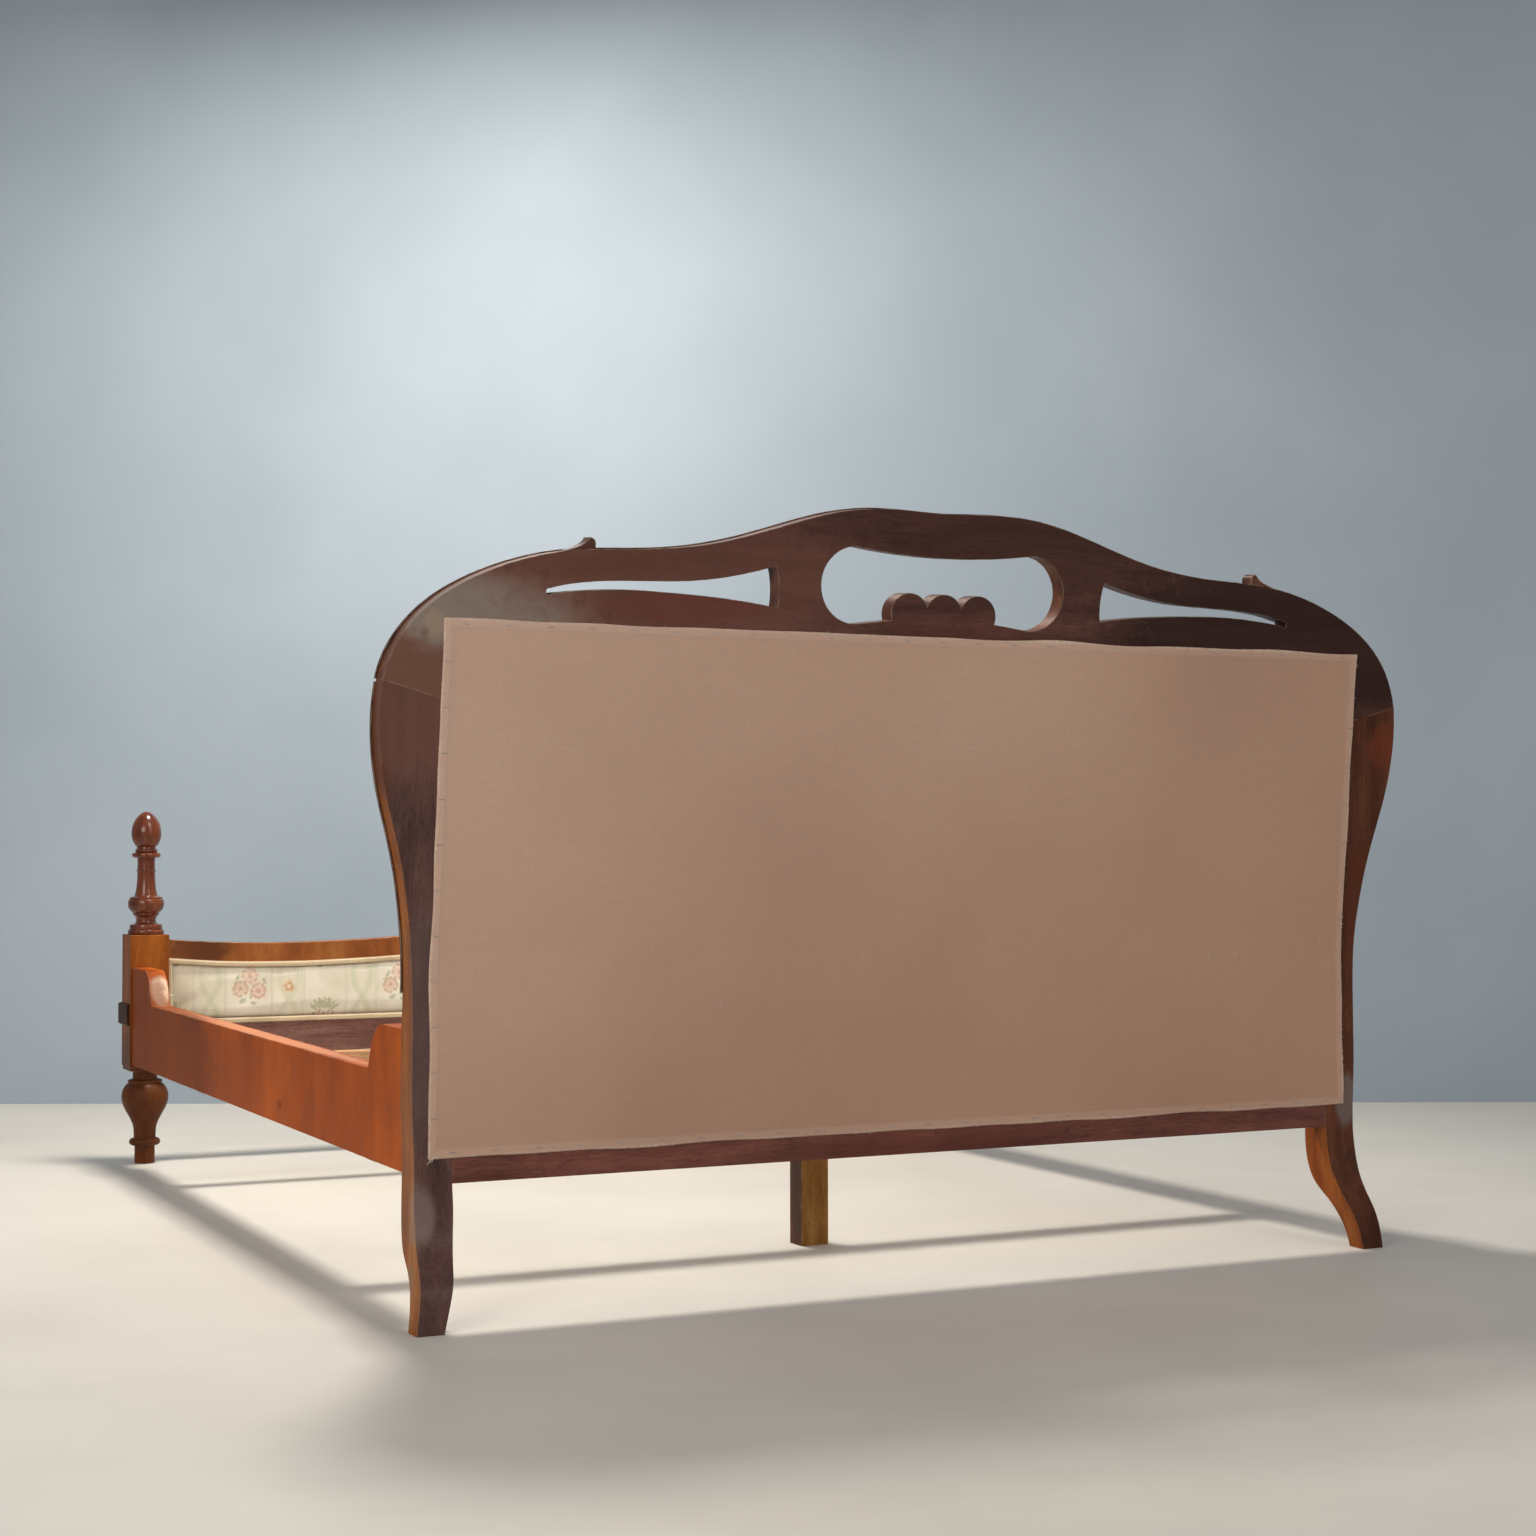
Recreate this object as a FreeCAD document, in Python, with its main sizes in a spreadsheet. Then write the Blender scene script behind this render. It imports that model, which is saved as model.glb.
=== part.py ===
import FreeCAD, Part
import math
import os
from FreeCAD import Placement, Rotation, Vector

# A carved and upholstered double bed: a leaning, pierced headboard on sabre legs, a low footboard
# between turned posts, and two side rails that hook into both.  X runs across the bed, Y from the
# head to the foot, Z up.  The origin is on the floor under the middle of the bed's outline.
# Lengths along the bed are given from the tips of the rear feet, and along() turns one into a Y.

doc = FreeCAD.newDocument("SleighBed")

SIZES = {
    "middle_along": 1059.6,
    "lean_angle": 6.1,
    "board_low": 200,
    "board_back_along": 96,
    "board_thick": 32,
    "leg_back_along": 61,
    "leg_inner": 792,
    "cloth_thick": 1.2,
    "pad_thick": 34,
    "ply_thick": 6,
    "moulding_thick": 8,
    "moulding_wide": 24,
    "rail_outer": 850,
    "rail_thick": 38,
    "rail_low": 218,
    "rail_top": 356,
    "rail_shoulder": 427,
    "low_rail_thick": 36,
    "low_rail_low": 205,
    "low_rail_top": 310,
    "post_across": 812,
    "post_along": 2082,
    "post_side": 84,
    "block_low": 211,
    "block_top": 497,
    "plinth_side": 80,
    "foot_rail_thick": 40,
    "foot_pad_thick": 16,
    "gimp_wide": 12,
    "gimp_thick": 3,
    "ledger_wide": 25,
    "ledger_deep": 30,
    "bearer_top": 263,
    "bearer_deep": 70,
    "bearer_thick": 45,
    "head_bearer_along": 479,
    "foot_bearer_along": 1660,
    "stirrup_thick": 3,
    "leg_across": 52,
    "leg_deep": 44,
    "bolt_radius": 4,
    "screw_radius": 2.2,
    "clearance": 0.4,
}

sheet = doc.addObject("Spreadsheet::Sheet", "Sizes")
for row, (alias, value) in enumerate(SIZES.items(), 1):
    sheet.set("A%d" % row, alias)
    sheet.set("B%d" % row, str(value))
    sheet.setAlias("B%d" % row, alias)
doc.recompute()

SUBPARTS = []


def size(alias):
    return float(sheet.get(alias))


def along(distance):
    return distance - size("middle_along")


def keep(thing, label):
    """Names a finished sub-part and lists it for writing."""
    thing.Label = label
    SUBPARTS.append(thing)
    return thing


# ---- drawing helpers -------------------------------------------------------------------------


def draw(start, *steps):
    """A closed outline.  A step is a point to run straight to, ("arc", via, end), or
    ("curve", point, point, ..., end) for a smooth curve from where the outline has got to."""
    pen = start
    lines = []
    for step in steps:
        if step[0] == "arc":
            lines.append(Part.Arc(flat(pen), flat(step[1]), flat(step[2])))
            pen = step[2]
        elif step[0] == "curve":
            curve = Part.BSplineCurve()
            curve.interpolate([flat(pen)] + [flat(point) for point in step[1:]])
            lines.append(curve)
            pen = step[-1]
        else:
            lines.append(Part.LineSegment(flat(pen), flat(step)))
            pen = step
    if math.dist(pen, start) > 1e-6:
        lines.append(Part.LineSegment(flat(pen), flat(start)))
    return lines


def flat(point):
    return Vector(point[0], point[1], 0)


def flipped(points):
    """The same points on the other side of the bed's middle."""
    return [(-across, up) for across, up in points]


def whole(points):
    """Half an outline that ends on the middle line, and its mirror image after it."""
    return points + flipped(points[-2::-1])


def new_body(name):
    return doc.addObject("PartDesign::Body", name)


def sketch(body, role, lines, offset=None):
    """A sketch of the given lines on one of the body's own origin planes."""
    drawn = body.newObject("Sketcher::SketchObject", body.Name + "_outline")
    plane = next(item for item in body.Origin.OriginFeatures if item.Role == role)
    drawn.AttachmentSupport = [(plane, "")]
    drawn.MapMode = "FlatFace"
    if offset:
        drawn.AttachmentOffset = offset
    drawn.addGeometry(lines, False)
    return drawn


def pad(body, drawn, length, reverse=False):
    """Thickens a sketch by a length, which is a cell of the sheet or a number in words."""
    feature = body.newObject("PartDesign::Pad", body.Name + "_pad")
    feature.Profile = drawn
    feature.Reversed = reverse
    feature.setExpression("Length", length)
    return feature


def off(distance):
    """Moves a sketch off its plane."""
    return Placement(Vector(0, 0, distance), Rotation())


def pocket(body, drawn):
    """Cuts a sketch's closed regions right through the body, both ways."""
    doc.recompute()
    before = body.Shape.Volume
    feature = body.newObject("PartDesign::Pocket", body.Name + "_pocket")
    feature.Profile = drawn
    feature.Type = "ThroughAll"
    feature.Midplane = True
    doc.recompute()
    if body.Shape.Volume > before - 1:
        raise ValueError(body.Name + ": the pocket cut nothing")
    return feature


def turn(body, lines):
    """Revolves a half profile, drawn as radius against height, about the upright axis."""
    drawn = sketch(body, "XZ_Plane", lines)
    feature = body.newObject("PartDesign::Revolution", body.Name + "_turning")
    feature.Profile = drawn
    feature.ReferenceAxis = (drawn, ["V_Axis"])
    feature.Angle = 360
    return feature


def box(name, low, high):
    """A plain block between two corners."""
    block = doc.addObject("Part::Box", name)
    block.Length, block.Width, block.Height = [b - a for a, b in zip(low, high)]
    block.Placement = Placement(Vector(*low), Rotation())
    return block


def rod(name, start, direction, radius, length):
    """A cylinder whose radius is a cell of the sheet."""
    cylinder = doc.addObject("Part::Cylinder", name)
    cylinder.setExpression("Radius", radius)
    cylinder.Height = length
    cylinder.Placement = Placement(Vector(*start), Rotation(Vector(0, 0, 1), Vector(*direction)))
    return cylinder


def cut(name, base, tools):
    """The base less all of the tools."""
    doc.recompute()
    joined = tools[0]
    if len(tools) > 1:
        joined = doc.addObject("Part::MultiFuse", name + "_tools")
        joined.Shapes = tools
    result = doc.addObject("Part::Cut", name)
    result.Base = base
    result.Tool = joined
    return result


def screws(name, places, length):
    """A group of countersunk wood screws.  A place is the head's centre and the way it is driven."""
    radius = size("screw_radius")
    solids = []
    for head, way in places:
        shank = Part.makeCylinder(radius, length, Vector(*head), Vector(*way))
        cone = Part.makeCone(2 * radius, radius, radius, Vector(*head), Vector(*way))
        solids.append(shank.fuse(cone))
    group = doc.addObject("Part::Feature", name)
    group.Shape = Part.makeCompound(solids)
    return keep(group, name)


# ---- the headboard's leaning frame -----------------------------------------------------------
# Its outlines are drawn on the board's back face, as distance across against distance up the
# slope, and thickness runs towards the foot.  up() turns a height above the floor into the latter.
# Low down the back bends and drops straight to the legs; bent() makes a slab that follows the bend.

LEAN = size("lean_angle")
BOARD = Placement(Vector(0, along(size("board_back_along")), size("board_low")),
                  Rotation(Vector(1, 0, 0), LEAN))


def up(height):
    return (height - size("board_low")) / math.cos(math.radians(LEAN))


def slope(points):
    return [(across, up(height)) for across, height in points]


def square_on(points):
    """Points given as distance across, distance along and height, seen square on to the slope."""
    turn_by, back = math.radians(LEAN), size("board_back_along")
    return [(across, (back - distance) * math.sin(turn_by) + (height - size("board_low")) * math.cos(turn_by))
            for across, distance, height in points]


def to_y(points):
    return [(along(distance), height) for distance, height in points]


def lean_back(height):
    """How far along the leaning back face is, at a height above the floor."""
    fall = (height - size("board_low")) * math.tan(math.radians(LEAN))
    return size("board_back_along") - fall


LEG_LINE = size("leg_back_along")
BEND = size("board_low") + (size("board_back_along") - LEG_LINE) / math.tan(math.radians(LEAN))
BEND_REACH = 35


def back_line(depth, low, top):
    """A line down the bent back from top to low, at a depth in front of it: its places and steps."""
    slant = depth / math.cos(math.radians(LEAN))
    sag = BEND_REACH * math.tan(math.radians(LEAN)) / 4
    above, middle, below = [(lean_back(BEND + BEND_REACH) + slant, BEND + BEND_REACH),
                            (LEG_LINE - sag + depth, BEND), (LEG_LINE + depth, BEND - BEND_REACH)]
    return [(lean_back(top) + slant, top), above, middle, below, (LEG_LINE + depth, low)]


def back_at(height):
    """How far along the bent back is, at a height above the floor."""
    rise = height - BEND + BEND_REACH
    if rise > 2 * BEND_REACH:
        return lean_back(height)
    return LEG_LINE - max(0, rise) ** 2 * math.tan(math.radians(LEAN)) / (4 * BEND_REACH)


on_board = Placement(Vector(0, size("board_low"), -along(size("board_back_along"))),
                     Rotation(Vector(1, 0, 0), LEAN))
WASTE = 600


def bent(name, half, low, top, near, far, outline=None):
    """A slab between two depths in front of the bent back, trimmed to an outline if one is given."""
    body = new_body(name)
    behind, ahead = to_y(back_line(near, low, top)), to_y(back_line(far, low, top)[::-1])
    lines = draw(behind[0], behind[1], ("arc", behind[2], behind[3]), behind[4], ahead[0], ahead[1],
                 ("arc", ahead[2], ahead[3]), ahead[4])
    pad(body, sketch(body, "YZ_Plane", lines, off(-half)), str(2 * half))
    if outline:
        waste = draw((-2 * WASTE, -WASTE), (2 * WASTE, -WASTE), (2 * WASTE, 2 * WASTE),
                     (-2 * WASTE, 2 * WASTE))
        pocket(body, sketch(body, "XZ_Plane", outline + waste, on_board))
    return body


def deeper(depth):
    """Moves a sketch on the board's back face towards the foot by the given depth."""
    return off(-depth)


def board_piece(name, lines, thickness, depth=0):
    """A flat piece of the headboard, its back face at a depth in front of the board's back."""
    body = new_body(name)
    pad(body, sketch(body, "XZ_Plane", lines, deeper(depth)), thickness, reverse=True)
    body.Placement = BOARD
    return body


# The outline: a straight leg, a shoulder that swells out, and a crest that rises in two steps.
SHOULDER = slope([(850.3, 241), (852.6, 300), (852.6, 470), (862.6, 600), (879.4, 687), (902.7, 773),
                  (914.5, 850), (912, 931)])
CREST = slope([(912, 931), (863, 1025), (755, 1094), (628, 1128), (500, 1136), (369, 1157),
               (237, 1197), (165, 1213), (85, 1217.5), (0, 1215)])
JOINT_INNER = (size("leg_inner"), up(898))
JOINT_OUTER = SHOULDER[-1]
ARCH = slope([(787, 940), (762, 972), (712, 985)])

# Crest board: one sawn board, joined to the stiles at slanting butts and pierced in three places.
outline = draw(JOINT_OUTER, ("curve", *whole(CREST)[1:]),
               *flipped([JOINT_INNER]), ("curve", *flipped(ARCH)),
               ARCH[-1], ("curve", *ARCH[-2::-1], JOINT_INNER))
crest = board_piece("headboard_crest_board", outline, "Sizes.board_thick")

# The middle opening: round ends, a sagging top edge, and three lobes that rise from below.
END_CENTRE, END_RADIUS = (160, up(1097)), 60
LOBE_RADIUS, LOBE_PITCH, LOBE_CENTRE = 33, 62, up(1056.5)
notch = LOBE_CENTRE + math.sqrt(LOBE_RADIUS ** 2 - (LOBE_PITCH / 2) ** 2)
end_top = (END_CENTRE[0], END_CENTRE[1] + END_RADIUS)
end_side = (END_CENTRE[0] + END_RADIUS, END_CENTRE[1])
end_foot = (END_CENTRE[0] - 12, END_CENTRE[1] - END_RADIUS * math.sqrt(1 - 0.2 ** 2))
lobe_foot = (LOBE_PITCH + 0.94 * LOBE_RADIUS, LOBE_CENTRE - LOBE_RADIUS * math.sqrt(1 - 0.94 ** 2))
lobe_tops = [(across, LOBE_CENTRE + LOBE_RADIUS) for across in (LOBE_PITCH, 0, -LOBE_PITCH)]
middle_hole = draw(end_top, ("arc", end_side, end_foot), lobe_foot,
                   ("arc", lobe_tops[0], (LOBE_PITCH / 2, notch)),
                   ("arc", lobe_tops[1], (-LOBE_PITCH / 2, notch)),
                   ("arc", lobe_tops[2], *flipped([lobe_foot])),
                   *flipped([end_foot]),
                   ("arc", *flipped([end_side, end_top])),
                   ("arc", (0, up(1145)), end_top))
pocket(crest, sketch(crest, "XZ_Plane", middle_hole))

# The side openings: tapering slots that follow the top edge.
SLOT_TOP = slope([(298, 1120), (358, 1104), (430, 1092), (535, 1087), (623, 1080), (664, 1071)])
SLOT_LOW = slope([(660, 1064), (597, 1071), (537, 1074), (485, 1073), (375, 1067), (293, 1057)])
SLOT_TIP = (670, up(1067))
SLOT_END = (292, up(1089))
for side in (1, -1):
    top = [(side * across, height) for across, height in SLOT_TOP]
    low = [(side * across, height) for across, height in SLOT_LOW]
    tip = (side * SLOT_TIP[0], SLOT_TIP[1])
    inner = (side * SLOT_END[0], SLOT_END[1])
    slot = draw(top[0], ("curve", *top[1:]), ("arc", tip, low[0]), ("curve", *low[1:]),
                ("arc", inner, top[0]))
    pocket(crest, sketch(crest, "XZ_Plane", slot))
keep(crest, "headboard_crest")

# Stiles: each is one plank with its leg.  The side profile is sawn first, a sabre foot that sweeps
# back under a tapering upright, and the outline, splayed at the foot, is then sawn through it.
LEG_BACK = [(LEG_LINE, 200), (56, 160), (45, 121), (25, 86), (12, 65), (4.5, 40), (2, 0)]
LEG_FRONT = [(39, 0), (41, 20), (52, 52), (73, 79), (106, 110), (116, 144), (118, 200)]
FOOT_OUTER = square_on([(851, 85, 160), (854, 50, 85), (860, 24, 37), (865.5, 20, -6)])
FOOT_INNER = square_on([(824, 20, -6), (821, 21, 11), (812.5, 26, 46), (806, 42, 71), (799.5, 60, 105),
                        (794, 80, 143), (size("leg_inner"), 90, 198)])
STILE_TOP = 960
RAIL_SEAT = [(118, 200), (115, 430)]


def seat(height):
    """How far along the stile's front face is, at the height of the side rail."""
    (near, low), (far, high) = RAIL_SEAT
    return near + (far - near) * (height - low) / (high - low)


front_depth = size("board_thick") / math.cos(math.radians(LEAN))
JOINT_TOP = 931
front_line = [RAIL_SEAT[1], (lean_back(JOINT_TOP) + front_depth, JOINT_TOP)]
stile_back = to_y(back_line(0, LEG_BACK[0][1], STILE_TOP))
side_profile = draw(
    stile_back[0], stile_back[1], ("arc", stile_back[2], stile_back[3]), stile_back[4],
    ("curve", *to_y(LEG_BACK[1:])),
    to_y([LEG_FRONT[0]])[0],
    ("curve", *to_y(LEG_FRONT[1:])),
    *to_y([*front_line, (lean_back(STILE_TOP) + front_depth, STILE_TOP)]))
PLANK_INNER, PLANK_THICK = 750, 200

# Mortises for the low rail's tenons, and slots for the side rails' hooks.
TENON_LONG, TENON_LOW, TENON_TOP = 35, 215, 285
TENON_NEAR, TENON_FAR = along(LEG_LINE + 10), along(LEG_LINE + 22)
MORTISE_GAP_SIDE, MORTISE_GAP_END = 0.1, 0.2
HOOK_X = size("rail_outer") - size("rail_thick")
HOOK_LOW, HOOK_TOP = 235, 345


def block(name, side, inner, outer, near, far, low, top):
    """A plain block on one side of the bed, from how far across, along its depth, and its heights."""
    edges = sorted([side * inner, side * outer])
    return box(name, (edges[0], near, low), (edges[1], far, top))


INNER = size("leg_inner")


def stile(name, side):
    body = new_body(name + "_plank")
    profile = sketch(body, "YZ_Plane", side_profile, off(side * PLANK_INNER))
    pad(body, profile, str(PLANK_THICK), reverse=side < 0)
    splay, joint, outer = [[(side * across, height) for across, height in points]
                           for points in (FOOT_INNER, [JOINT_INNER], SHOULDER[::-1] + FOOT_OUTER)]
    kept = draw(splay[0], ("curve", *splay[1:]), joint[0], outer[0], ("curve", *outer[1:]))
    frame = draw((-side * 100, -WASTE), (side * 1200, -WASTE), (side * 1200, 2 * WASTE),
                 (-side * 100, 2 * WASTE))
    pocket(body, sketch(body, "XZ_Plane", kept + frame, on_board))
    mortise = block(name + "_mortise", side, INNER - 1, INNER + TENON_LONG + 1,
                    TENON_NEAR - MORTISE_GAP_SIDE, TENON_FAR + MORTISE_GAP_SIDE,
                    TENON_LOW - MORTISE_GAP_END, TENON_TOP + MORTISE_GAP_END)
    return cut(name, body, [mortise, hook_slot(name + "_slot", side, seat(290) - 22, seat(290) + 9)])


def hook_slot(name, side, near, far):
    """The slot that a side rail's hook plate drops into."""
    return block(name, side, HOOK_X - 4.5, HOOK_X + 0.5, along(near), along(far),
                 HOOK_LOW - 8, HOOK_TOP + 3)


for word, side in (("left", -1), ("right", 1)):
    keep(stile("headboard_stile_" + word, side), "headboard_stile_" + word)

# Low rail, tenoned into both stiles, and the upright softwood stretcher behind the upholstery.
low_rail = box("headboard_low_rail_plank", (-INNER, along(LEG_LINE), size("low_rail_low")),
               (INNER, along(LEG_LINE + size("low_rail_thick")), size("low_rail_top")))
tenons = []
for word, side in (("left", -1), ("right", 1)):
    tenon = block("low_rail_tenon_" + word, side, INNER - 20, INNER + TENON_LONG,
                  TENON_NEAR, TENON_FAR, TENON_LOW, TENON_TOP)
    tenons.append(tenon)
doc.recompute()
joined = doc.addObject("Part::MultiFuse", "headboard_low_rail_joined")
joined.Shapes = [low_rail] + tenons
keep(joined, "headboard_low_rail")

STRETCHER_HALF, STRETCHER_THICK, PANEL_TOP = 35, 14, 990
OVER_RAIL = size("low_rail_top") + 0.3
keep(bent("middle_stretcher", STRETCHER_HALF, OVER_RAIL, 984, 0, STRETCHER_THICK),
     "headboard_middle_stretcher")

# Upholstery: a plywood panel in the frame's opening, the stuffed pad on its front, the braid that
# hides the pad's tacked edge, and the plain cloth that closes the back.
PANEL = [(786, up(940)), (760, up(970)), (710, up(984))]


def panel_outline(inset, low=280):
    """The frame's opening drawn in by an inset, closed by a level lower edge."""
    right = [(across - inset, height - inset) for across, height in PANEL]
    return draw((-right[0][0], up(low)), (right[0][0], up(low)), right[0],
                ("curve", *right[1:]), *flipped(right[-1:]), ("curve", *flipped(right[-2::-1])))


PLY_DEPTH = STRETCHER_THICK + 0.3
PAD_DEPTH = PLY_DEPTH + size("ply_thick") + 0.3
keep(bent("panel_ply", INNER, OVER_RAIL, PANEL_TOP, PLY_DEPTH, PLY_DEPTH + size("ply_thick"),
          panel_outline(0.5)), "headboard_panel_board")
edge_width = 1 + size("gimp_wide")
keep(bent("front_pad", INNER, OVER_RAIL + edge_width + 2, PANEL_TOP, PAD_DEPTH,
          PAD_DEPTH + size("pad_thick"), panel_outline(edge_width + 0.3)), "headboard_front_pad")
GIMP_FILL = 14
keep(bent("front_gimp", INNER, OVER_RAIL + 1, PANEL_TOP, PAD_DEPTH, PAD_DEPTH + GIMP_FILL,
          panel_outline(1) + panel_outline(edge_width, OVER_RAIL + edge_width)), "headboard_gimp")

CLOTH_LOW, CLOTH_TOP, CLOTH_HALF = 242, 1022, (829, 824)
hem = size("clearance") + size("cloth_thick")
cloth = draw((-CLOTH_HALF[0], up(CLOTH_LOW - 20)), (CLOTH_HALF[0], up(CLOTH_LOW - 20)),
             (CLOTH_HALF[1], up(CLOTH_TOP + 20)), (-CLOTH_HALF[1], up(CLOTH_TOP + 20)))
keep(bent("back_cloth", CLOTH_HALF[0] + 10, CLOTH_LOW, CLOTH_TOP, -hem, -size("clearance"), cloth),
     "headboard_back_cloth")

# Staples hold the back cloth round its edge.
STAPLE_PITCH, STAPLE_WIDE, STAPLE_WIRE = 66, 10, 0.8
STAPLE_OFF = 0.2
staples = []


def staple(across, height):
    wire = Part.makeBox(STAPLE_WIDE, STAPLE_WIRE, STAPLE_WIRE,
                        Vector(-STAPLE_WIDE / 2, -hem - STAPLE_OFF - STAPLE_WIRE, -STAPLE_WIRE / 2))
    wire.Placement = Placement(Vector(across, along(back_at(height)), height),
                               Rotation(Vector(1, 0, 0), LEAN if height > BEND else 0))
    return wire


for height in (CLOTH_LOW + 8, CLOTH_TOP - 8):
    for step in range(-12, 13):
        staples.append(staple(step * STAPLE_PITCH, height))
for step in range(11):
    for side in (-1, 1):
        staples.append(staple(side * (CLOTH_HALF[0] - 7 - step / 2), CLOTH_LOW + 58 + step * STAPLE_PITCH))
staple_group = doc.addObject("Part::Feature", "back_cloth_staples")
staple_group.Shape = Part.makeCompound(staples)
keep(staple_group, "back_cloth_staples")

# Front moulding: a rounded strip that follows the outline, over the crest and down each stile.
ROUND_OVER = 3


def parallel(curve, gap, count):
    """Points at a distance to the left of a curve, spread along it."""
    places = []
    first, last = curve.FirstParameter, curve.LastParameter
    for step in range(count + 1):
        at = first + (last - first) * step / count
        spot = curve.value(at)
        way = curve.tangent(at)[0]
        places.append((spot.x - gap * way.y, spot.y + gap * way.x))
    return places


def moulding(name, points, count, placement, side=1):
    """A strip along a curve on a face, just proud of it outside, with its front edges rounded."""
    curve = Part.BSplineCurve()
    curve.interpolate([flat(point) for point in points])
    outer = parallel(curve, -2 * side, count)
    inner = parallel(curve, (size("moulding_wide") - 2) * side, count)
    body = new_body(name)
    lines = draw(outer[0], ("curve", *outer[1:]), inner[-1], ("curve", *inner[-2::-1]))
    strip = pad(body, sketch(body, "XZ_Plane", lines), "Sizes.moulding_thick", reverse=True)
    doc.recompute()
    front_edges = ["Edge%d" % (number + 1) for number, edge in enumerate(strip.Shape.Edges)
                   if edge.BoundBox.YMin > size("moulding_thick") - 0.01 and edge.Length > 200]
    rounded = body.newObject("PartDesign::Fillet", name + "_rounding")
    rounded.Base = (strip, front_edges)
    rounded.Radius = ROUND_OVER
    body.Tip = rounded
    body.Placement = placement
    return keep(body, name)


on_front = BOARD.multiply(Placement(Vector(0, size("board_thick") + 0.05, 0), Rotation()))
moulding("crest_moulding", whole(CREST), 28, on_front)
(low_along, low_height), (top_along, top_height) = front_line
front_lean = math.atan2(low_along - top_along, top_height - low_height)
on_stile = Placement(Vector(0, along(low_along) + 0.05, low_height),
                     Rotation(Vector(1, 0, 0), math.degrees(front_lean)))
STILE_EDGE = [(853, 480), (862.6, 600), (879.4, 687), (902.7, 773), (914.5, 850), (912, 930)]
for word, side in (("left", -1), ("right", 1)):
    run = [(side * across, (height - low_height) / math.cos(front_lean))
           for across, height in STILE_EDGE]
    moulding("stile_moulding_" + word, run, 12, on_stile, side)

# Small scrolls where the crest's moulding ends, each a roll with a tail that dies into the edge.
SCROLL_CENTRE, SCROLL_RADIUS, SCROLL_THICK = (603, up(1139)), 9, 26
SCROLL_TAIL = slope([(658, 1112), (634, 1129), (614, 1137)])
EIGHTH = math.sqrt(0.5)
for word, side in (("left", -1), ("right", 1)):
    tail = [(side * across, height) for across, height in SCROLL_TAIL]
    roll_top = (side * SCROLL_CENTRE[0], SCROLL_CENTRE[1] + SCROLL_RADIUS)
    roll_side = (side * (SCROLL_CENTRE[0] - SCROLL_RADIUS), SCROLL_CENTRE[1])
    roll_via = (side * (SCROLL_CENTRE[0] - EIGHTH * SCROLL_RADIUS),
                SCROLL_CENTRE[1] + EIGHTH * SCROLL_RADIUS)
    leaf = draw(tail[0], ("curve", tail[1], tail[2], roll_top), ("arc", roll_via, roll_side),
                (side * (SCROLL_CENTRE[0] - SCROLL_RADIUS), up(1110)))
    roll = board_piece("scroll_blank_" + word, leaf, str(SCROLL_THICK), 3)
    keep(cut("crest_scroll_" + word, roll, [crest]), "crest_scroll_" + word)

# ---- side rails ------------------------------------------------------------------------------
# A plank with a raised shoulder at each end, its head end cut to the stile's slope.
RAIL_LOW, RAIL_TOP, SHOULDER_TOP = size("rail_low"), size("rail_top"), size("rail_shoulder")
RAIL_END = size("post_along") - size("post_side") / 2
HEAD_FLAT, FOOT_FLAT, SWEEP = 206, 1924, 84


def sweep_up(start, way):
    """The shoulder's curve from the rail's top edge: a small cove, then a rounded corner."""
    return [(start + way * 6, RAIL_TOP + 14), (start + way * 24, RAIL_TOP + 46),
            (start + way * 50, SHOULDER_TOP - 5), (start + way * SWEEP, SHOULDER_TOP)]


rail_profile = draw(
    *to_y([(seat(RAIL_LOW), RAIL_LOW), (RAIL_END, RAIL_LOW), (RAIL_END, SHOULDER_TOP),
           (FOOT_FLAT, SHOULDER_TOP)]),
    ("curve", *to_y(sweep_up(FOOT_FLAT - SWEEP, 1)[::-1][1:] + [(FOOT_FLAT - SWEEP, RAIL_TOP)])),
    to_y([(HEAD_FLAT + SWEEP, RAIL_TOP)])[0],
    ("curve", *to_y(sweep_up(HEAD_FLAT + SWEEP, -1))),
    to_y([(seat(SHOULDER_TOP), SHOULDER_TOP)])[0])

for word, side in (("left", -1), ("right", 1)):
    rail = new_body("side_rail_" + word)
    inner = side * (size("rail_outer") - size("rail_thick"))
    pad(rail, sketch(rail, "YZ_Plane", rail_profile, off(inner)), "Sizes.rail_thick",
        reverse=side < 0)
    keep(rail, "side_rail_" + word)

# Ledgers: softwood strips screwed inside the rails, level with the tops of the cross bearers.
LEDGER_NEAR, LEDGER_FAR = seat(263) + 90, RAIL_END - 90
LEDGER_X = HOOK_X - size("ledger_wide")
for word, side in (("left", -1), ("right", 1)):
    ledger = new_body("rail_ledger_" + word)
    low, top = size("bearer_top") - size("ledger_deep"), size("bearer_top")
    lines = draw(*to_y([(LEDGER_NEAR, low), (LEDGER_FAR, low), (LEDGER_FAR, top),
                        (LEDGER_NEAR, top)]))
    pad(ledger, sketch(ledger, "YZ_Plane", lines, off(side * LEDGER_X)),
        "Sizes.ledger_wide", reverse=side < 0)
    keep(ledger, "rail_ledger_" + word)
LEDGER_SCREWS = 7
ledger_step = (LEDGER_FAR - LEDGER_NEAR - 80) / (LEDGER_SCREWS - 1)
screws("ledger_screws",
       [((side * LEDGER_X, along(LEDGER_NEAR + 40 + step * ledger_step), 248), (side, 0, 0))
        for side in (-1, 1) for step in range(LEDGER_SCREWS)], 50)

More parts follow.
